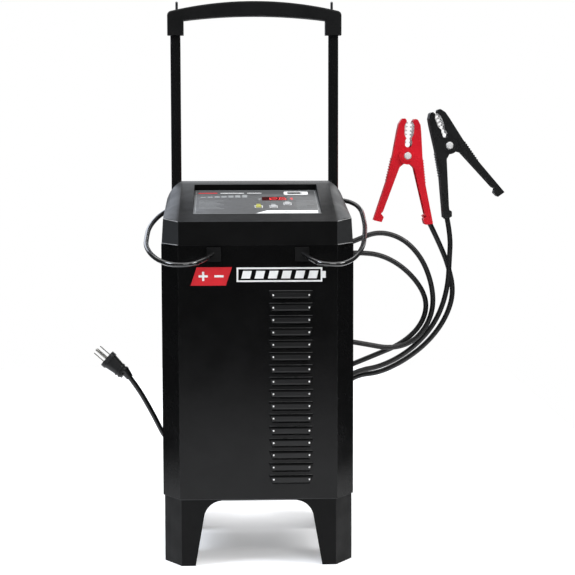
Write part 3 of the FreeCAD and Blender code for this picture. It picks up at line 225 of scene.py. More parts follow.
def head_material():
    """The head's black plastic, with painted highlights where it faces the lamps: paler towards the rear on
    faces turned up, on its upturned shoulders and rear ridge, and paler and cooler on faces turned to the
    sides.
    """
    m = Nodes("head_look")
    place = m.axes()
    facing = m.axes(m.add("ShaderNodeNewGeometry").outputs["Normal"])
    low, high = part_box("head_cover")
    # painted highlights: the masks below mark where paler colour stands in for light caught, not for a
    # change in the plastic
    upward = m.span(facing["Z"], 0, 1, 0.25, 0.7)
    cloud = m.span(m.noise(14, 4), 0.8, 1.0, 0.3, 0.7)
    painted_rear_highlight = m.times(m.span(place["Y"], 0, 1, low.y + 70 * MM, high.y - 5 * MM), upward)
    shoulder = m.times(m.span(m.unsigned(place["X"]), 0, 1, 103.5 * MM, 108 * MM), upward)
    painted_side_highlight = m.span(m.unsigned(facing["X"]), 0, 1, 0.4, 0.8)
    painted_ridge_highlight = m.times(m.eased(place["Y"], 0, 1, high.y - 24 * MM, high.y - 9 * MM), upward)
    base = m.blend(m.times(painted_rear_highlight, cloud), grey(0.003), grey(0.050))
    base = m.blend(m.times(painted_ridge_highlight, cloud), base, grey(0.105))
    base = m.blend(m.times(painted_side_highlight, cloud), base, grey(0.030, 0.97))
    base = m.blend(m.times(shoulder, cloud), base, grey(0.040, 0.955))
    scuffed = m.times(m.edges(0.001, 0.5, 0.98), m.span(m.noise(160, 4), 0, 0.2, 0.42, 0.8))
    m.paint(m.blend(scuffed, base, grey(0.14)), m.span(m.noise(34, 5, 0.6), 0.36, 0.48, 0.3, 0.7))
    m.bump(m.noise(1100, 3, 0.6), 0.00008, 0.5)
    m.set(Specular_IOR_Level=0.11)
    return m.material


def bare_metal(name, colour, rough, grain=(60, 60, 1400), metallic=1.0):
    """Plated or bare metal with drawn scratches and duller patches."""
    m = Nodes(name)
    dull = m.span(m.noise(70, 5, 0.6), 0, 1, 0.35, 0.75)
    scratch = m.noise(1, 4, 0.7, m.stretched(grain))
    m.paint(m.blend(dull, colour, tuple(c * 0.62 for c in colour)),
            m.span(scratch, rough * 0.7, rough * 1.5, 0.25, 0.75))
    m.bump(scratch, 0.00003, 0.4)
    m.set(Metallic=metallic)
    return m.material


def rubber(name, level, rough):
    """Rubber or soft vinyl: fine skin, dusty patches, no hard gloss."""
    m = Nodes(name)
    dust = m.span(m.noise(22, 6, 0.65), 0, 1, 0.45, 0.75)
    m.paint(m.blend(m.times(dust, 0.6), grey(level), grey(level * 2.1 + 0.01)),
            m.span(m.noise(48, 4), rough * 0.85, rough * 1.2, 0.3, 0.7))
    m.bump(m.noise(700, 3, 0.6), 0.00006, 0.5)
    m.set(Specular_IOR_Level=0.42)
    return m.material


def tyre_material():
    """Tyre rubber: coarse and dusty."""
    m = Nodes("tyre_rubber_look")
    dust = m.span(m.noise(40, 6, 0.7), 0, 1, 0.4, 0.7)
    m.paint(m.blend(m.times(dust, 0.55), grey(0.018), grey(0.075, 1.06)),
            m.span(m.noise(60, 4), 0.62, 0.85, 0.3, 0.7))
    m.bump(m.noise(380, 4, 0.7), 0.00018, 0.6)
    return m.material


def winding_material():
    """Enamelled copper wire, wound in layers."""
    m = Nodes("winding_look")
    wire = m.add("ShaderNodeTexWave", wave_type="BANDS", bands_direction="Z")
    wire.inputs["Scale"].default_value = 130
    wire.inputs["Distortion"].default_value = 0.4
    m.link(m.place, wire.inputs["Vector"])
    m.paint(m.blend(wire.outputs["Fac"], (0.18, 0.06, 0.02), (0.62, 0.25, 0.09)),
            m.span(m.noise(80, 4), 0.25, 0.5))
    m.bump(wire.outputs["Fac"], 0.0004, 0.7)
    m.set(Metallic=0.55)
    return m.material


def core_material():
    """Stacked laminations: thin dark lines along the stack, a little rust."""
    m = Nodes("core_look")
    stack = m.add("ShaderNodeTexWave", wave_type="BANDS", bands_direction="Y")
    stack.inputs["Scale"].default_value = 320
    m.link(m.place, stack.inputs["Vector"])
    steel = m.blend(stack.outputs["Fac"], grey(0.10), grey(0.26))
    rust = m.span(m.noise(90, 6, 0.7), 0, 0.5, 0.58, 0.75)
    m.paint(m.blend(rust, steel, (0.17, 0.07, 0.03)), m.span(m.noise(50, 4), 0.35, 0.6))
    m.bump(stack.outputs["Fac"], 0.0002, 0.6)
    m.set(Metallic=0.8)
    return m.material


def board_material():
    """Green solder mask with paler tracks."""
    m = Nodes("board_look")
    tracks = m.add("ShaderNodeTexBrick")
    tracks.inputs["Scale"].default_value = 60
    tracks.inputs["Mortar Size"].default_value = 0.03
    m.link(m.place, tracks.inputs["Vector"])
    m.paint(m.blend(tracks.outputs["Fac"], (0.01, 0.10, 0.045), (0.03, 0.24, 0.10)),
            m.span(m.noise(120, 3), 0.25, 0.45))
    m.bump(tracks.outputs["Fac"], 0.00008, 0.5)
    return m.material


def overlay_material():
    """Printed film over the panel: cool grey, fading lighter to the rear, finely stippled."""
    m = Nodes("overlay_look")
    low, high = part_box("control_overlay")
    rise = m.span(m.axes()["Y"], 0, 1, low.y, high.y)
    cloud = m.blend(m.noise(12, 3), grey(0.060, 0.985), grey(0.070, 0.985))
    m.paint(m.blend(rise, cloud, grey(0.082, 0.985)), m.span(m.noise(40, 5, 0.6), 0.28, 0.42, 0.3, 0.7))
    m.bump(m.noise(2200, 2), 0.00003, 0.4)
    m.set(Specular_IOR_Level=0.5)
    return m.material


def ink(name, colour, rough=0.45):
    """Screen-printed ink: slightly uneven coverage and a fine dot."""
    m = Nodes(name)
    thin = tuple(c * 0.9 for c in colour)
    m.paint(m.blend(m.span(m.noise(90, 5, 0.6), 0, 1, 0.35, 0.7), colour, thin),
            m.span(m.noise(140, 3), rough * 0.8, rough * 1.2))
    m.bump(m.noise(2400, 2), 0.00002, 0.4)
    return m.material


def smoked_window():
    """Dark red tinted plastic that the lit digits show through."""
    m = Nodes("window_smoke_look")
    m.paint(m.blend(m.noise(30, 3), (0.10, 0.012, 0.012), (0.16, 0.02, 0.02)),
            m.span(m.noise(60, 4), 0.03, 0.10, 0.3, 0.7))
    m.set(Alpha=0.35, IOR=1.5)
    return m.material


def lit_segment():
    """Red light behind a grained diffuser."""
    m = Nodes("lit_segment_look")
    glow = m.blend(m.span(m.spots(900), 0, 1, 0.0, 0.6), (1.0, 0.06, 0.07), (0.75, 0.015, 0.02))
    m.link(glow, m.shader.inputs["Emission Color"])
    m.paint(glow)
    m.set(Emission_Strength=0.55, Roughness=0.4)
    return m.material


CLAMP_PIECES = ("fixed_lever", "moving_lever", "fixed_jaw", "moving_jaw", "pivot")


def clamp_pieces(colour, *pieces):
    return [f"{colour}_clamp_{piece}" for piece in pieces or CLAMP_PIECES]


LOOKS = {
    "cabinet": painted_steel("cabinet_look", 0.0024, 0.2, mirror=0.21, hood_highlight=0.012),
    # painted shade: the cabinet's paint again, a little darker and less glossy on the sides
    "side": painted_steel("side_shaded_look", 0.0022, 0.24, mirror=0.13),
    "guide": painted_steel("guide_look", 0.004, 0.3),
    "tube": painted_steel("tube_look", 0.004, 0.17, coat=0.35, wear=0.12, mirror=0.4),
    "rod": painted_steel("rod_look", 0.006, 0.14, coat=0.8, wear=0.12, mirror=0.5),
    "head": head_material(),
    "mount": moulded_plastic("mount_look", grey(0.003), 0.5, 1100, 0.00006, 0.15, mirror=0.15),
    "foot": moulded_plastic("foot_look", grey(0.0042), 0.5, 800, 0.0001, 0.2, mirror=0.11),
    "grip": moulded_plastic("grip_look", grey(0.0035), 0.5, 700, 0.00012, 0.2, mirror=0.16),
    # edge: a pale grey for painted highlight lines along the head's and the foot's edges
    "edge": moulded_plastic("edge_highlight_look", grey(0.30), 0.35, 1400, 0.00002),
    # dark_edge: a paler paint for the painted highlight lines along the louvres' top edges
    "dark_edge": painted_steel("dark_edge_highlight_look", 0.035, 0.3),
    "overlay": overlay_material(),
    "window": smoked_window(),
    "display": moulded_plastic("display_block_look", (0.02, 0.003, 0.003), 0.3, 1600, 0.00002),
    "board": board_material(),
    "yellow": moulded_plastic("yellow_button_look", (0.36, 0.35, 0.06), 0.38, 1500, 0.00003),
    "pale": moulded_plastic("pale_button_look", grey(0.42), 0.38, 1500, 0.00003),
    "core": core_material(),
    "winding": winding_material(),
    "aluminium": bare_metal("aluminium_look", (0.62, 0.63, 0.65), 0.35, (40, 40, 900)),
    "fan": moulded_plastic("fan_look", grey(0.02), 0.5),
    "dark_steel": bare_metal("dark_steel_look", (0.10, 0.10, 0.105), 0.32, (500, 500, 500)),
    "zinc": bare_metal("zinc_look", (0.62, 0.62, 0.60), 0.3, (900, 60, 60)),
    "jaw": bare_metal("jaw_look", (0.93, 0.92, 0.90), 0.42, (60, 900, 60), 0.55),
    "nickel": bare_metal("nickel_look", (0.40, 0.39, 0.36), 0.3, (200, 200, 900), 0.7),
    "hub": moulded_plastic("hub_look", grey(0.02), 0.5),
    "tyre": tyre_material(),
    "relief": rubber("relief_look", 0.008, 0.5),
    "cable": rubber("cable_look", 0.006, 0.38),
    "plug": rubber("plug_look", 0.008, 0.42),
    "tie": moulded_plastic("tie_look", grey(0.02), 0.55, 1800),
    "red": moulded_plastic("red_clamp_look", (0.60, 0.010, 0.020), 0.27, 1200, 0.00004, 0.6,
                           scuff=(0.82, 0.20, 0.20), mirror=0.5),
    "black": moulded_plastic("black_clamp_look", grey(0.008), 0.27, 1200, 0.00004, 0.6, mirror=0.55),
    "white_ink": ink("white_ink_look", (0.80, 0.80, 0.79)),
    "grey_ink": ink("grey_ink_look", (0.26, 0.27, 0.27)),
    "black_ink": ink("black_ink_look", (0.003, 0.003, 0.0033), 0.6),
    "red_ink": ink("red_ink_look", (0.60, 0.008, 0.016)),
    "yellow_ink": ink("yellow_ink_look", (0.34, 0.33, 0.05)),
    "lit": lit_segment(),
}
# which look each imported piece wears
DRESS = {
    "cabinet": ["cabinet_front", "rear_panel", "base_pan", "axle_brackets"],
    "side": ["cabinet_side_left", "cabinet_side_right"],
    "guide": ["handle_guide_left", "handle_guide_right"],
    "tube": ["handle_tube_left", "handle_tube_right"],
    "rod": ["cable_wrap_left", "cable_wrap_right"],
    "head": ["head_cover"],
    "mount": ["wrap_mounts"],
    "foot": ["front_foot"],
    "grip": ["handle_grip"],
    "overlay": ["control_overlay"],
    "window": ["display_window"],
    "display": ["digit_display"],
    "board": ["control_board"],
    "yellow": ["type_button"],
    "pale": ["rate_button", "display_button"],
    "core": ["transformer_core"],
    "winding": ["transformer_winding"],
    "aluminium": ["rectifier"],
    "fan": ["fan_frame", "fan_rotor"],
    "dark_steel": ["handle_screws", "clamp_posts", "cabinet_screws"],
    "zinc": ["axle", "axle_caps"],
    "jaw": clamp_pieces("red", *CLAMP_PIECES[2:]) + clamp_pieces("black", *CLAMP_PIECES[2:]),
    "nickel": ["plug_pins"],
    "hub": ["wheel_hub_left", "wheel_hub_right"],
    "tyre": ["wheel_tyre_left", "wheel_tyre_right"],
    "relief": ["strain_reliefs"],
    "plug": ["plug_body"],
    "tie": ["coil_ties"],
    "red": clamp_pieces("red", *CLAMP_PIECES[:2]),
    "black": clamp_pieces("black", *CLAMP_PIECES[:2]),
}
# pieces by how far their edges are rounded, in millimetres
ROUNDED = {
    0.25: ["plug_pins", "coil_ties"],
    0.3: ["cabinet_front", "cabinet_side_left", "cabinet_side_right", "rear_panel", "control_overlay",
          "rectifier"],
    0.4: ["transformer_core"],
    0.5: ["axle_brackets", "plug_body", "axle"],
    0.6: ["axle_caps"],
    0.7: ["wheel_hub_left", "wheel_hub_right"],
    0.8: ["head_cover", "handle_guide_left", "handle_guide_right", "wrap_mounts", "fan_frame"],
    0.9: ["front_foot"],
    1.0: clamp_pieces("red", *CLAMP_PIECES[:2]) + clamp_pieces("black", *CLAMP_PIECES[:2]),
    1.5: ["transformer_winding"],
}


def dress_frame():
    """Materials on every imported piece, and softly rounded edges on most."""
    for look, names in DRESS.items():
        for name in names:
            worn = NODES[name].data.materials
            worn.clear()
            worn.append(LOOKS[look])
    for width, names in ROUNDED.items():
        for name in names:
            bevel = NODES[name].modifiers.new("rounded_edges", "BEVEL")
            bevel.width = width * MM
            bevel.segments = 3
            bevel.limit_method = "ANGLE"
            bevel.angle_limit = math.radians(38)
            bevel.harden_normals = True


# ---------------------------------------------------------------------------- cords
ROUTES = {
    "black_upper": [
        (71, 228, 397), (88, 243, 398), (114, 252, 402), (144, 256, 412), (179, 257, 427),
        (216, 257, 417), (244, 257, 388), (259, 257, 350), (262, 257, 314), (250, 257, 283),
        (229, 257, 262), (198, 257, 254), (162, 257, 261), (126, 257, 267), (92, 257, 269),
        (58, 257, 268)],
    "black_lower": [
        (44, 249.5, 188), (80, 251, 187), (116, 258, 200), (150, 264, 221), (184, 265, 226),
        (221, 264, 245), (252, 263, 273), (272.5, 263, 306), (283.5, 263, 345), (285.5, 263, 385),
        (287, 263, 418), (281.5, 263, 445)],
    "red_upper": [
        (41, 228, 384), (58, 244, 385), (84, 257, 389), (116, 264, 393), (150, 266, 395),
        (185, 266, 392), (219, 266, 373), (246, 266, 342), (254, 266, 313), (242, 266, 283),
        (214, 266, 259), (180, 266, 245), (142, 269, 229), (106, 273, 216), (78, 273, 212),
        (56, 273, 212)],
    "red_lower": [
        (44, 265.5, 130), (78, 267, 132), (107, 271, 160), (124, 273, 194), (150, 273, 213),
        (184, 273, 216), (221, 273, 234), (256, 273, 261), (282, 273, 296), (294, 273, 335),
        (285, 273, 376), (270, 272, 411), (257, 270, 437)],
    "mains_upper": [(-28, 223, 262), (-28, 235, 241), (-28.5, 240, 216), (-28.5, 240, 190)],
    "mains_lower": [
        (-70, 233, 133), (-88, 232.5, 129), (-105, 229, 126), (-120, 221, 126.5), (-130.5, 208, 134.5),
        (-137, 195, 149.5), (-145, 184, 169), (-155, 175, 190), (-166, 168, 211),
        (-178, 164, 228.5)],
}
POINTS_A_TURN = 16
SHIFT = 0.2  # the share of a turn in which the cord moves over to its next track


def coil_turns(centre, start, sense, tracks, turns):
    """Control points of a coil that fills its tracks (radius, Y) one whole turn after another.

    The points lie outside the radius by swell, because the spline cuts inside them.
    """
    swell = 1 / (0.75 + 0.25 * math.cos(2 * math.pi / POINTS_A_TURN))
    points = []
    count = round(turns * POINTS_A_TURN)
    for i in range(1, count):
        turn = i / POINTS_A_TURN
        whole = min(int(turn), len(tracks) - 1)
        following = min(whole + 1, len(tracks) - 1)
        share = max(0.0, (turn - whole - (1 - SHIFT)) / SHIFT) if turn < len(tracks) else 0.0
        radius, depth = (a + (b - a) * share for a, b in zip(tracks[whole], tracks[following]))
        angle = math.radians(start) + sense * 2 * math.pi * turn
        points.append((centre[0] + radius * swell * math.cos(angle), depth,
                       centre[1] + radius * swell * math.sin(angle)))
    return points


# each cord is its upper route, a coil (centre, first angle, sense, tracks, turns) and its lower route
CORDS = {
    "black_cable": {
        "routes": "black", "thick": 7.5, "far_end": "connector", "with": clamp_pieces("black"),
        "coil": ((44, 224.25), 90, 1, [(43.75, 257), (43.75, 264.5), (36.25, 264.5), (36.25, 257)], 3.5),
    },
    "red_cable": {
        "routes": "red", "thick": 7.5, "far_end": "connector", "with": clamp_pieces("red"),
        "coil": ((44, 168.25), 90, 1, [(43.75, 273), (43.75, 280.5), (36.25, 280.5), (36.25, 273)], 3.5),
    },
    "mains_cord": {
        "routes": "mains", "thick": 7.0, "far_end": "plug", "with": ["plug_body", "plug_pins"],
        "coil": ((-70, 170), 0, -1,
                 [(41.5, 240), (41.5, 247), (41.5, 254), (34.5, 254), (34.5, 247), (34.5, 240)], 5.25),
    },
}


def line_length(curve):
    """Length of a curve's own line, read from it with no thickness."""
    bare = curve.copy()
    bare.data = curve.data.copy()
    bare.data.bevel_depth = 0
    SCENE.collection.objects.link(bare)
    bpy.context.view_layer.update()
    mesh = bpy.data.meshes.new_from_object(bare.evaluated_get(bpy.context.evaluated_depsgraph_get()))
    total = sum((mesh.vertices[a].co - mesh.vertices[b].co).length
                for a, b in (edge.vertices for edge in mesh.edges))
    bpy.data.objects.remove(bare)
    bpy.data.meshes.remove(mesh)
    return total


def lay_cord(name, facts):
    """A cord along its whole route, to the clamp or plug on its far end."""
    route = (ROUTES[facts["routes"] + "_upper"] + coil_turns(*facts["coil"])
             + ROUTES[facts["routes"] + "_lower"])
    data = bpy.data.curves.new(name, "CURVE")
    data.dimensions = "3D"
    data.bevel_depth = facts["thick"] / 2 * MM
    data.bevel_resolution = 6
    spline = data.splines.new("NURBS")
    points = [at(*point) for point in route]
    spline.points.add(len(points) - 1)
    for slot, point in zip(spline.points, points):
        slot.co = (*point, 1.0)
    spline.order_u = 3
    spline.use_endpoint_u = True
    spline.resolution_u = 8
    data.use_fill_caps = True
    cord = placed(name, data)
    data.materials.append(LOOKS["cable"])
    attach(cord, "charger")
    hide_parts(*(f"{name}_{part}" for part in ("upper", "coil", "lower")))
    length = line_length(cord)
    print(f"{name}: {length:.3f} m")


# ---------------------------------------------------------------------------- printed graphics
PANEL_TILT = math.radians(10.48)
FILM = 1.2  # how thick the panel's printed overlay is


def panel_matrix():
    """From the panel's own plane, in metres, to the frame: X across, Y up the slope."""
    low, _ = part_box("control_overlay")
    origin = Vector((0, low.y + FILM * MM * math.sin(PANEL_TILT), low.z))
    return Matrix.Translation(origin) @ Matrix.Rotation(PANEL_TILT, 4, "X")


def front_matrix():
    """From a drawing plane on the cabinet's front, X across and Y up, to the frame."""
    return Matrix.Translation(at(0, 0, 0)) @ Matrix.Rotation(math.radians(90), 4, "X")


def finished(name, mesh, look, smooth=True):
    """The piece that a bmesh makes: named, dressed and riding on the charger."""
    data = bpy.data.meshes.new(name)
    for face in mesh.faces:
        face.smooth = smooth
    mesh.to_mesh(data)
    mesh.free()
    piece = placed(name, data)
    data.materials.append(LOOKS[look])
    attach(piece, "charger")


def plate(name, outlines, plane, base, thick, look):
    """Thin printed or moulded shapes: closed outlines in millimetres on a plane."""
    mesh = bmesh.new()
    for outline in outlines:
        ring = [mesh.verts.new((x * MM, y * MM, base * MM)) for x, y in outline]
        face = mesh.faces.new(ring)
        face.normal_update()
        if face.normal.z < 0:
            face.normal_flip()
        lifted = bmesh.ops.extrude_face_region(mesh, geom=[face])
        top = [v for v in lifted["geom"] if isinstance(v, bmesh.types.BMVert)]
        bmesh.ops.translate(mesh, verts=top, vec=(0, 0, thick * MM))
    bmesh.ops.recalc_face_normals(mesh, faces=mesh.faces)
    bmesh.ops.transform(mesh, matrix=plane, verts=mesh.verts)
    finished(name, mesh, look, smooth=False)


def bar(x0, y0, x1, y1, radius=0.0, steps=5):
    """A rectangle, its corners rounded by radius."""
    if not radius:
        return [(x0, y0), (x1, y0), (x1, y1), (x0, y1)]
    corners = ((x1 - radius, y0 + radius, -90), (x1 - radius, y1 - radius, 0),
               (x0 + radius, y1 - radius, 90), (x0 + radius, y0 + radius, 180))
    return [(cx + radius * math.cos(math.radians(start + 90 * i / steps)),
             cy + radius * math.sin(math.radians(start + 90 * i / steps)))
            for cx, cy, start in corners for i in range(steps + 1)]


def disc(x, y, radius, steps=24):
    """A circle drawn with short straight steps."""
    turns = [2 * math.pi * i / steps for i in range(steps)]
    return [(x + radius * math.cos(turn), y + radius * math.sin(turn)) for turn in turns]


def hollow_bar(x0, y0, x1, y1, line):
    """A rectangular outline drawn with four strokes."""
    return [bar(x0, y0, x1, y0 + line), bar(x0, y1 - line, x1, y1),
            bar(x0, y0 + line, x0 + line, y1 - line), bar(x1 - line, y0 + line, x1, y1 - line)]


def slanted(x0, y0, x1, y1, lean):
    """A bar whose top is moved sideways by lean."""
    return [(x0, y0), (x1, y0), (x1 + lean, y1), (x0 + lean, y1)]


def front_badge():
    """A plain red tag with plus and minus signs, and a battery gauge in white strokes."""
    plane = front_matrix()
    plate("front_red_tag", [slanted(-88, 373, -42, 397, 8)], plane, 0.02, 0.2, "red_ink")
    signs = [bar(-77.5, 383.8, -65.5, 386.6), bar(-72.9, 379.2, -70.1, 383.8),
             bar(-72.9, 386.6, -70.1, 391.2), bar(-57, 383.8, -45, 386.6)]
    plate("front_polarity_signs", signs, plane, 0.22, 0.12, "white_ink")
    gauge = hollow_bar(-28, 377.5, 84, 396.5, 2.2) + [bar(84, 382.5, 88.5, 391.5)]
    gauge += [slanted(-22 + 17.4 * i, 382, -10.5 + 17.4 * i, 392, 2.5) for i in range(6)]
    plate("front_battery_gauge", gauge, plane, 0.02, 0.2, "white_ink")


# a painted line's rounded end: how far along and how wide each ring is, as shares of the radius
ROLL_END = ((0.0, 0.35), (0.6, 0.85), (1.4, 1.0))
ROLL_SIDES = 10


def painted_light_lines(name, runs, radius, look):
    """Slim half-sunk rolls along edges that paint light or shade on them, each from one point to another and
    rounded at its ends.
    """
    mesh = bmesh.new()
    turns = [2 * math.pi * i / ROLL_SIDES for i in range(ROLL_SIDES)]
    for start, end in runs:
        start, end = at(*start), at(*end)
        along = (end - start).normalized()
        across = along.orthogonal().normalized()
        beside = along.cross(across)
        rings = []
        stations = ([(start, step, share) for step, share in ROLL_END]
                    + [(end, -step, share) for step, share in reversed(ROLL_END)])
        for place, step, share in stations:
            middle = place + along * (step * radius * MM)
            rings.append([mesh.verts.new(middle + (across * math.cos(t) + beside * math.sin(t))
                                         * (radius * share * MM)) for t in turns])
        for near, far in zip(rings, rings[1:]):
            for i in range(ROLL_SIDES):
                following = (i + 1) % ROLL_SIDES
                mesh.faces.new((near[i], near[following], far[following], far[i]))
        mesh.faces.new(rings[0][::-1])
        mesh.faces.new(rings[-1])
    bmesh.ops.recalc_face_normals(mesh, faces=mesh.faces)
    finished(name, mesh, look)


def glint_spots(name, places, size, look):
    """Small smooth lens-shaped spots of painted glint at the given points; size is half of each extent."""
    mesh = bmesh.new()
    for place in places:
        shape = Matrix.Translation(at(*place)) @ Matrix.Diagonal((*(s * MM for s in size), 1.0))
        bmesh.ops.create_icosphere(mesh, subdivisions=2, radius=1.0, matrix=shape)
    finished(name, mesh, look)


LOUVRES = 16
TOP_LOUVRE = 365.3
LOUVRE_STEP = 16.28
FOOT_SEAM = 89.3


def edge_details():
    """Painted light as slim rolls and spots: highlight lines along the louvres' top edges and glints at
    their upper corners, highlight lines along the head's lower and shoulder edges and the foot's arch, and a
    line of painted shadow in the seam above the foot.
    """
    tops = [TOP_LOUVRE - LOUVRE_STEP * i for i in range(LOUVRES)]
    # painted highlights: pale lines along the louvres' top edges
    painted_light_lines("louvre_edge_highlights", [((14.5, -0.2, z + 0.4), (71, -0.2, z + 0.4)) for z in tops],
              0.62, "dark_edge")
    # painted glints: bright metal spots at each louvre's two upper corners
    corners = [(x, -4.95, z - 4.9) for z in tops for x in (19.6, 66.6)]
    glint_spots("louvre_corner_glints", corners, (1.15, 0.4, 1.2), "jaw")
    # painted highlights: pale lines along the head's lower edge and its shoulder fold, on both chamfers
    seams = [((side * 104.5, 1.0, 426.0), (side * 126, 32.2, 426.4)) for side in (-1, 1)]
    shoulders = [((side * 104.3, 0.9, 456.3), (side * 123.8, 29.2, 458.8)) for side in (-1, 1)]
    painted_light_lines("head_edge_highlights", seams + shoulders, 0.55, "edge")
    # painted highlight along the top of the foot's arch
    painted_light_lines("foot_edge_highlight", [((-50, 0.1, 87.9), (51, 0.1, 87.9))], 0.6, "edge")
    # painted shadow: a black line in the seam between the cabinet and the foot
    seam = [(-125, 33.4, FOOT_SEAM), (-102.4, 0, FOOT_SEAM), (102.4, 0, FOOT_SEAM), (125, 33.4, FOOT_SEAM)]
    painted_light_lines("foot_seam_painted_shadow", list(zip(seam, seam[1:])), 0.65, "black_ink")


# each segment of a digit as a bar, x0, y0, x1, y1, for a digit of size 1
SEGMENTS = {"a": (0.5, 5.6, 3.3, 6.2), "b": (3.4, 3.3, 4.0, 5.7), "c": (3.4, 0.5, 4.0, 2.9),
            "d": (0.5, 0.0, 3.3, 0.6), "e": (-0.2, 0.5, 0.4, 2.9), "f": (-0.2, 3.3, 0.4, 5.7),
            "g": (0.5, 2.8, 3.3, 3.4)}
DIGITS = {"1": "bc", "2": "abged", "6": "acdefg"}


def digit(sign, x, y, size):
    """A seven-segment digit, as small outlines."""
    return [bar(x + x0 * size, y + y0 * size, x + x1 * size, y + y1 * size)
            for x0, y0, x1, y1 in (SEGMENTS[s] for s in DIGITS[sign])]


def panel_print():
    """Everything printed on the sloping panel, and the lit display under its window."""
    plane = panel_matrix()
    top, thick = FILM + 0.01, 0.1

    def printed(name, outlines, look, lift=0.0):
        plate(name, outlines, plane, top + lift, thick, look)

    printed("panel_border", hollow_bar(-82.5, 2.5, 82.5, 139.5, 0.7), "grey_ink")
    printed("panel_white_band", [[(-1.6, 3.5), (81, 3.5), (81, 20), (13.3, 20)]], "white_ink")
    printed("panel_band_lines", [bar(22 + 14 * i, 8 + 4 * (i % 2), 31 + 14 * i, 9.2 + 4 * (i % 2))
                                 for i in range(4)], "black_ink", 0.1)
    rings = []
    for x, y in ((2.6, 42), (22.7, 42), (42, 58)):
        rings += hollow_bar(x - 5.2, y - 7, x + 5.2, y + 7, 0.8)
    printed("panel_button_frames", rings, "white_ink")
    printed("panel_yellow_key", [bar(-0.4, 51.5, 5.6, 58, 1)], "yellow_ink")
    printed("panel_pale_keys", [bar(19.8, 51.5, 25.6, 58, 1), bar(39, 67.5, 45, 74, 1)], "grey_ink")
    for side, start, longest in (("left", -78, 34), ("right", 54, 24)):
        lines = [bar(start, 30 + 7.5 * i, start + longest - 5 * (i % 3), 31.4 + 7.5 * i)
                 for i in range(7)]
        printed(f"panel_{side}_rules", lines, "grey_ink")
    steps = [bar(-76 + 9.5 * i, 96, -69 + 9.5 * i, 100 + 2.1 * i) for i in range(7)]
    printed("panel_charge_steps", steps, "grey_ink")
    printed("panel_red_bar", [slanted(-80, 121.5, -54, 125.5, 1.5)], "red_ink")
    printed("panel_title_bars", [bar(-49, 121.5, -16, 124.5, 1), bar(-12, 121.5, 8, 124.5, 1)],
            "white_ink")
    printed("panel_badge", [bar(39, 112.5, 72.5, 132, 2.5)], "white_ink")
    printed("panel_badge_symbol", [bar(44, 117, 62, 127.5, 1), bar(62, 120, 64, 124.5)],
            "black_ink", 0.1)
    printed("panel_lamps_off", [disc(4.7, 91, 1.8), disc(4.7, 83, 1.8)], "grey_ink")
    printed("panel_lamp_lit", [disc(48.6, 91, 2.0), disc(48.6, 83, 1.3)], "lit")

    digits = []
    for sign, x in (("1", 10.5), ("2", 20), ("6", 32)):
        digits += digit(sign, x, 82.5, 2.3)
    digits.append(disc(30.4, 83.4, 0.8, 12))
    plate("display_digits", digits, plane, 1.02, 0.12, "lit")


# ---------------------------------------------------------------------------- studio
def camera():
    """The viewpoint: a little above the panel and a little to the left of square on."""
    data = bpy.data.cameras.new("camera")
    data.sensor_width = 36
    data.lens = 105.04
    data.clip_end = 60
    eye = placed("camera", data)
    place, target = at(-39.9, -2179.3, 582.4), at(38.4, 0, 370.0)
    turn = (target - place).to_track_quat("-Z", "Y").to_matrix().to_4x4()
    eye.matrix_world = Matrix.Translation(place) @ turn @ Matrix.Rotation(math.radians(-0.122), 4, "Z")
    SCENE.camera = eye


def floor():
    """A plain sheet of pale paper under the object, which glows a little to stay white."""
    sheet = bmesh.new()
    for x, y in bar(-620, -1380, 620, 1700, 120, 8):
        sheet.verts.new((x * MM, y * MM, 0))
    sheet.faces.new(sheet.verts)
    mesh = bpy.data.meshes.new("paper")
    sheet.to_mesh(mesh)
    sheet.free()
    paper = placed("paper", mesh)
    m = Nodes("paper_look")
    m.paint(m.blend(m.noise(3, 3), (0.87, 0.87, 0.88), grey(0.90)), m.span(m.noise(20, 3), 0.75, 0.9))
    m.bump(m.noise(260, 3), 0.0002, 0.2)
    m.set(Specular_IOR_Level=0.2, Emission_Color=(1, 1, 1, 1), Emission_Strength=0.3)
    mesh.materials.append(m.material)


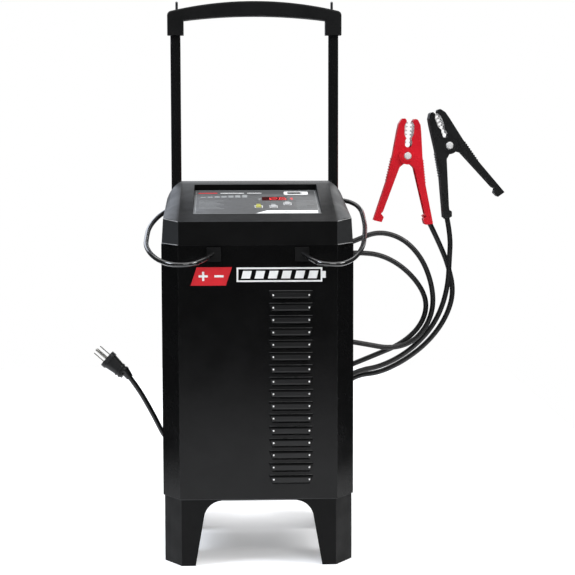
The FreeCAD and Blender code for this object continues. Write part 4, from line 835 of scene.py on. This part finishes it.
def softbox(name, place, target, width, height, power, colour=(1, 1, 1)):
    """A rectangular lamp in watts, which the camera doesn't see."""
    data = bpy.data.lights.new(name, "AREA")
    data.shape = "RECTANGLE"
    data.size, data.size_y = width, height
    data.energy = power
    data.color = colour
    lamp = placed(name, data)
    lamp.location = place
    lamp.rotation_euler = (Vector(target) - Vector(place)).to_track_quat("-Z", "Y").to_euler()
    lamp.visible_camera = False


def sky():
    """White behind the object for the camera, a dimmer room for what the surfaces mirror."""
    world = bpy.data.worlds.new("studio")
    SCENE.world = world
    world.use_nodes = True
    tree = world.node_tree
    tree.nodes.clear()
    rays = tree.nodes.new("ShaderNodeLightPath")
    room = tree.nodes.new("ShaderNodeBackground")
    room.inputs["Color"].default_value = (0.90, 0.94, 1.0, 1)
    room.inputs["Strength"].default_value = 0.07
    white = tree.nodes.new("ShaderNodeBackground")
    white.inputs["Color"].default_value = (1, 1, 1, 1)
    white.inputs["Strength"].default_value = 1.0
    mix = tree.nodes.new("ShaderNodeMixShader")
    out = tree.nodes.new("ShaderNodeOutputWorld")
    tree.links.new(rays.outputs["Is Camera Ray"], mix.inputs["Fac"])
    tree.links.new(room.outputs["Background"], mix.inputs[1])
    tree.links.new(white.outputs["Background"], mix.inputs[2])
    tree.links.new(mix.outputs["Shader"], out.inputs["Surface"])


def lights():
    softbox("overhead", (0, 0.1, 2.6), (0, 0.1, 0), 4.0, 4.0, 82)
    softbox("left_bank", (-1.5, -0.75, 1.9), (0, 0, 0.5), 0.8, 0.8, 34, (0.84, 0.90, 1.0))
    softbox("right_bank", (1.6, -0.7, 1.9), (0, 0, 0.5), 0.8, 0.8, 26)
    softbox("front_top", (0.6, -2.2, 2.2), (0.1, 0, 0.45), 1.1, 0.7, 20)
    softbox("back_left", (-1.1, 2.6, 1.5), (0, 0, 0.45), 2.0, 1.3, 15, (0.84, 0.89, 1.0))
    softbox("back_right", (1.1, 2.6, 1.5), (0, 0, 0.45), 2.0, 1.3, 12)


camera()
floor()
sky()
lights()
SCENE.view_settings.view_transform = "Standard"
dress_frame()
for cord_name, cord_facts in CORDS.items():
    lay_cord(cord_name, cord_facts)
front_badge()
panel_print()
edge_details()
bpy.context.view_layer.update()
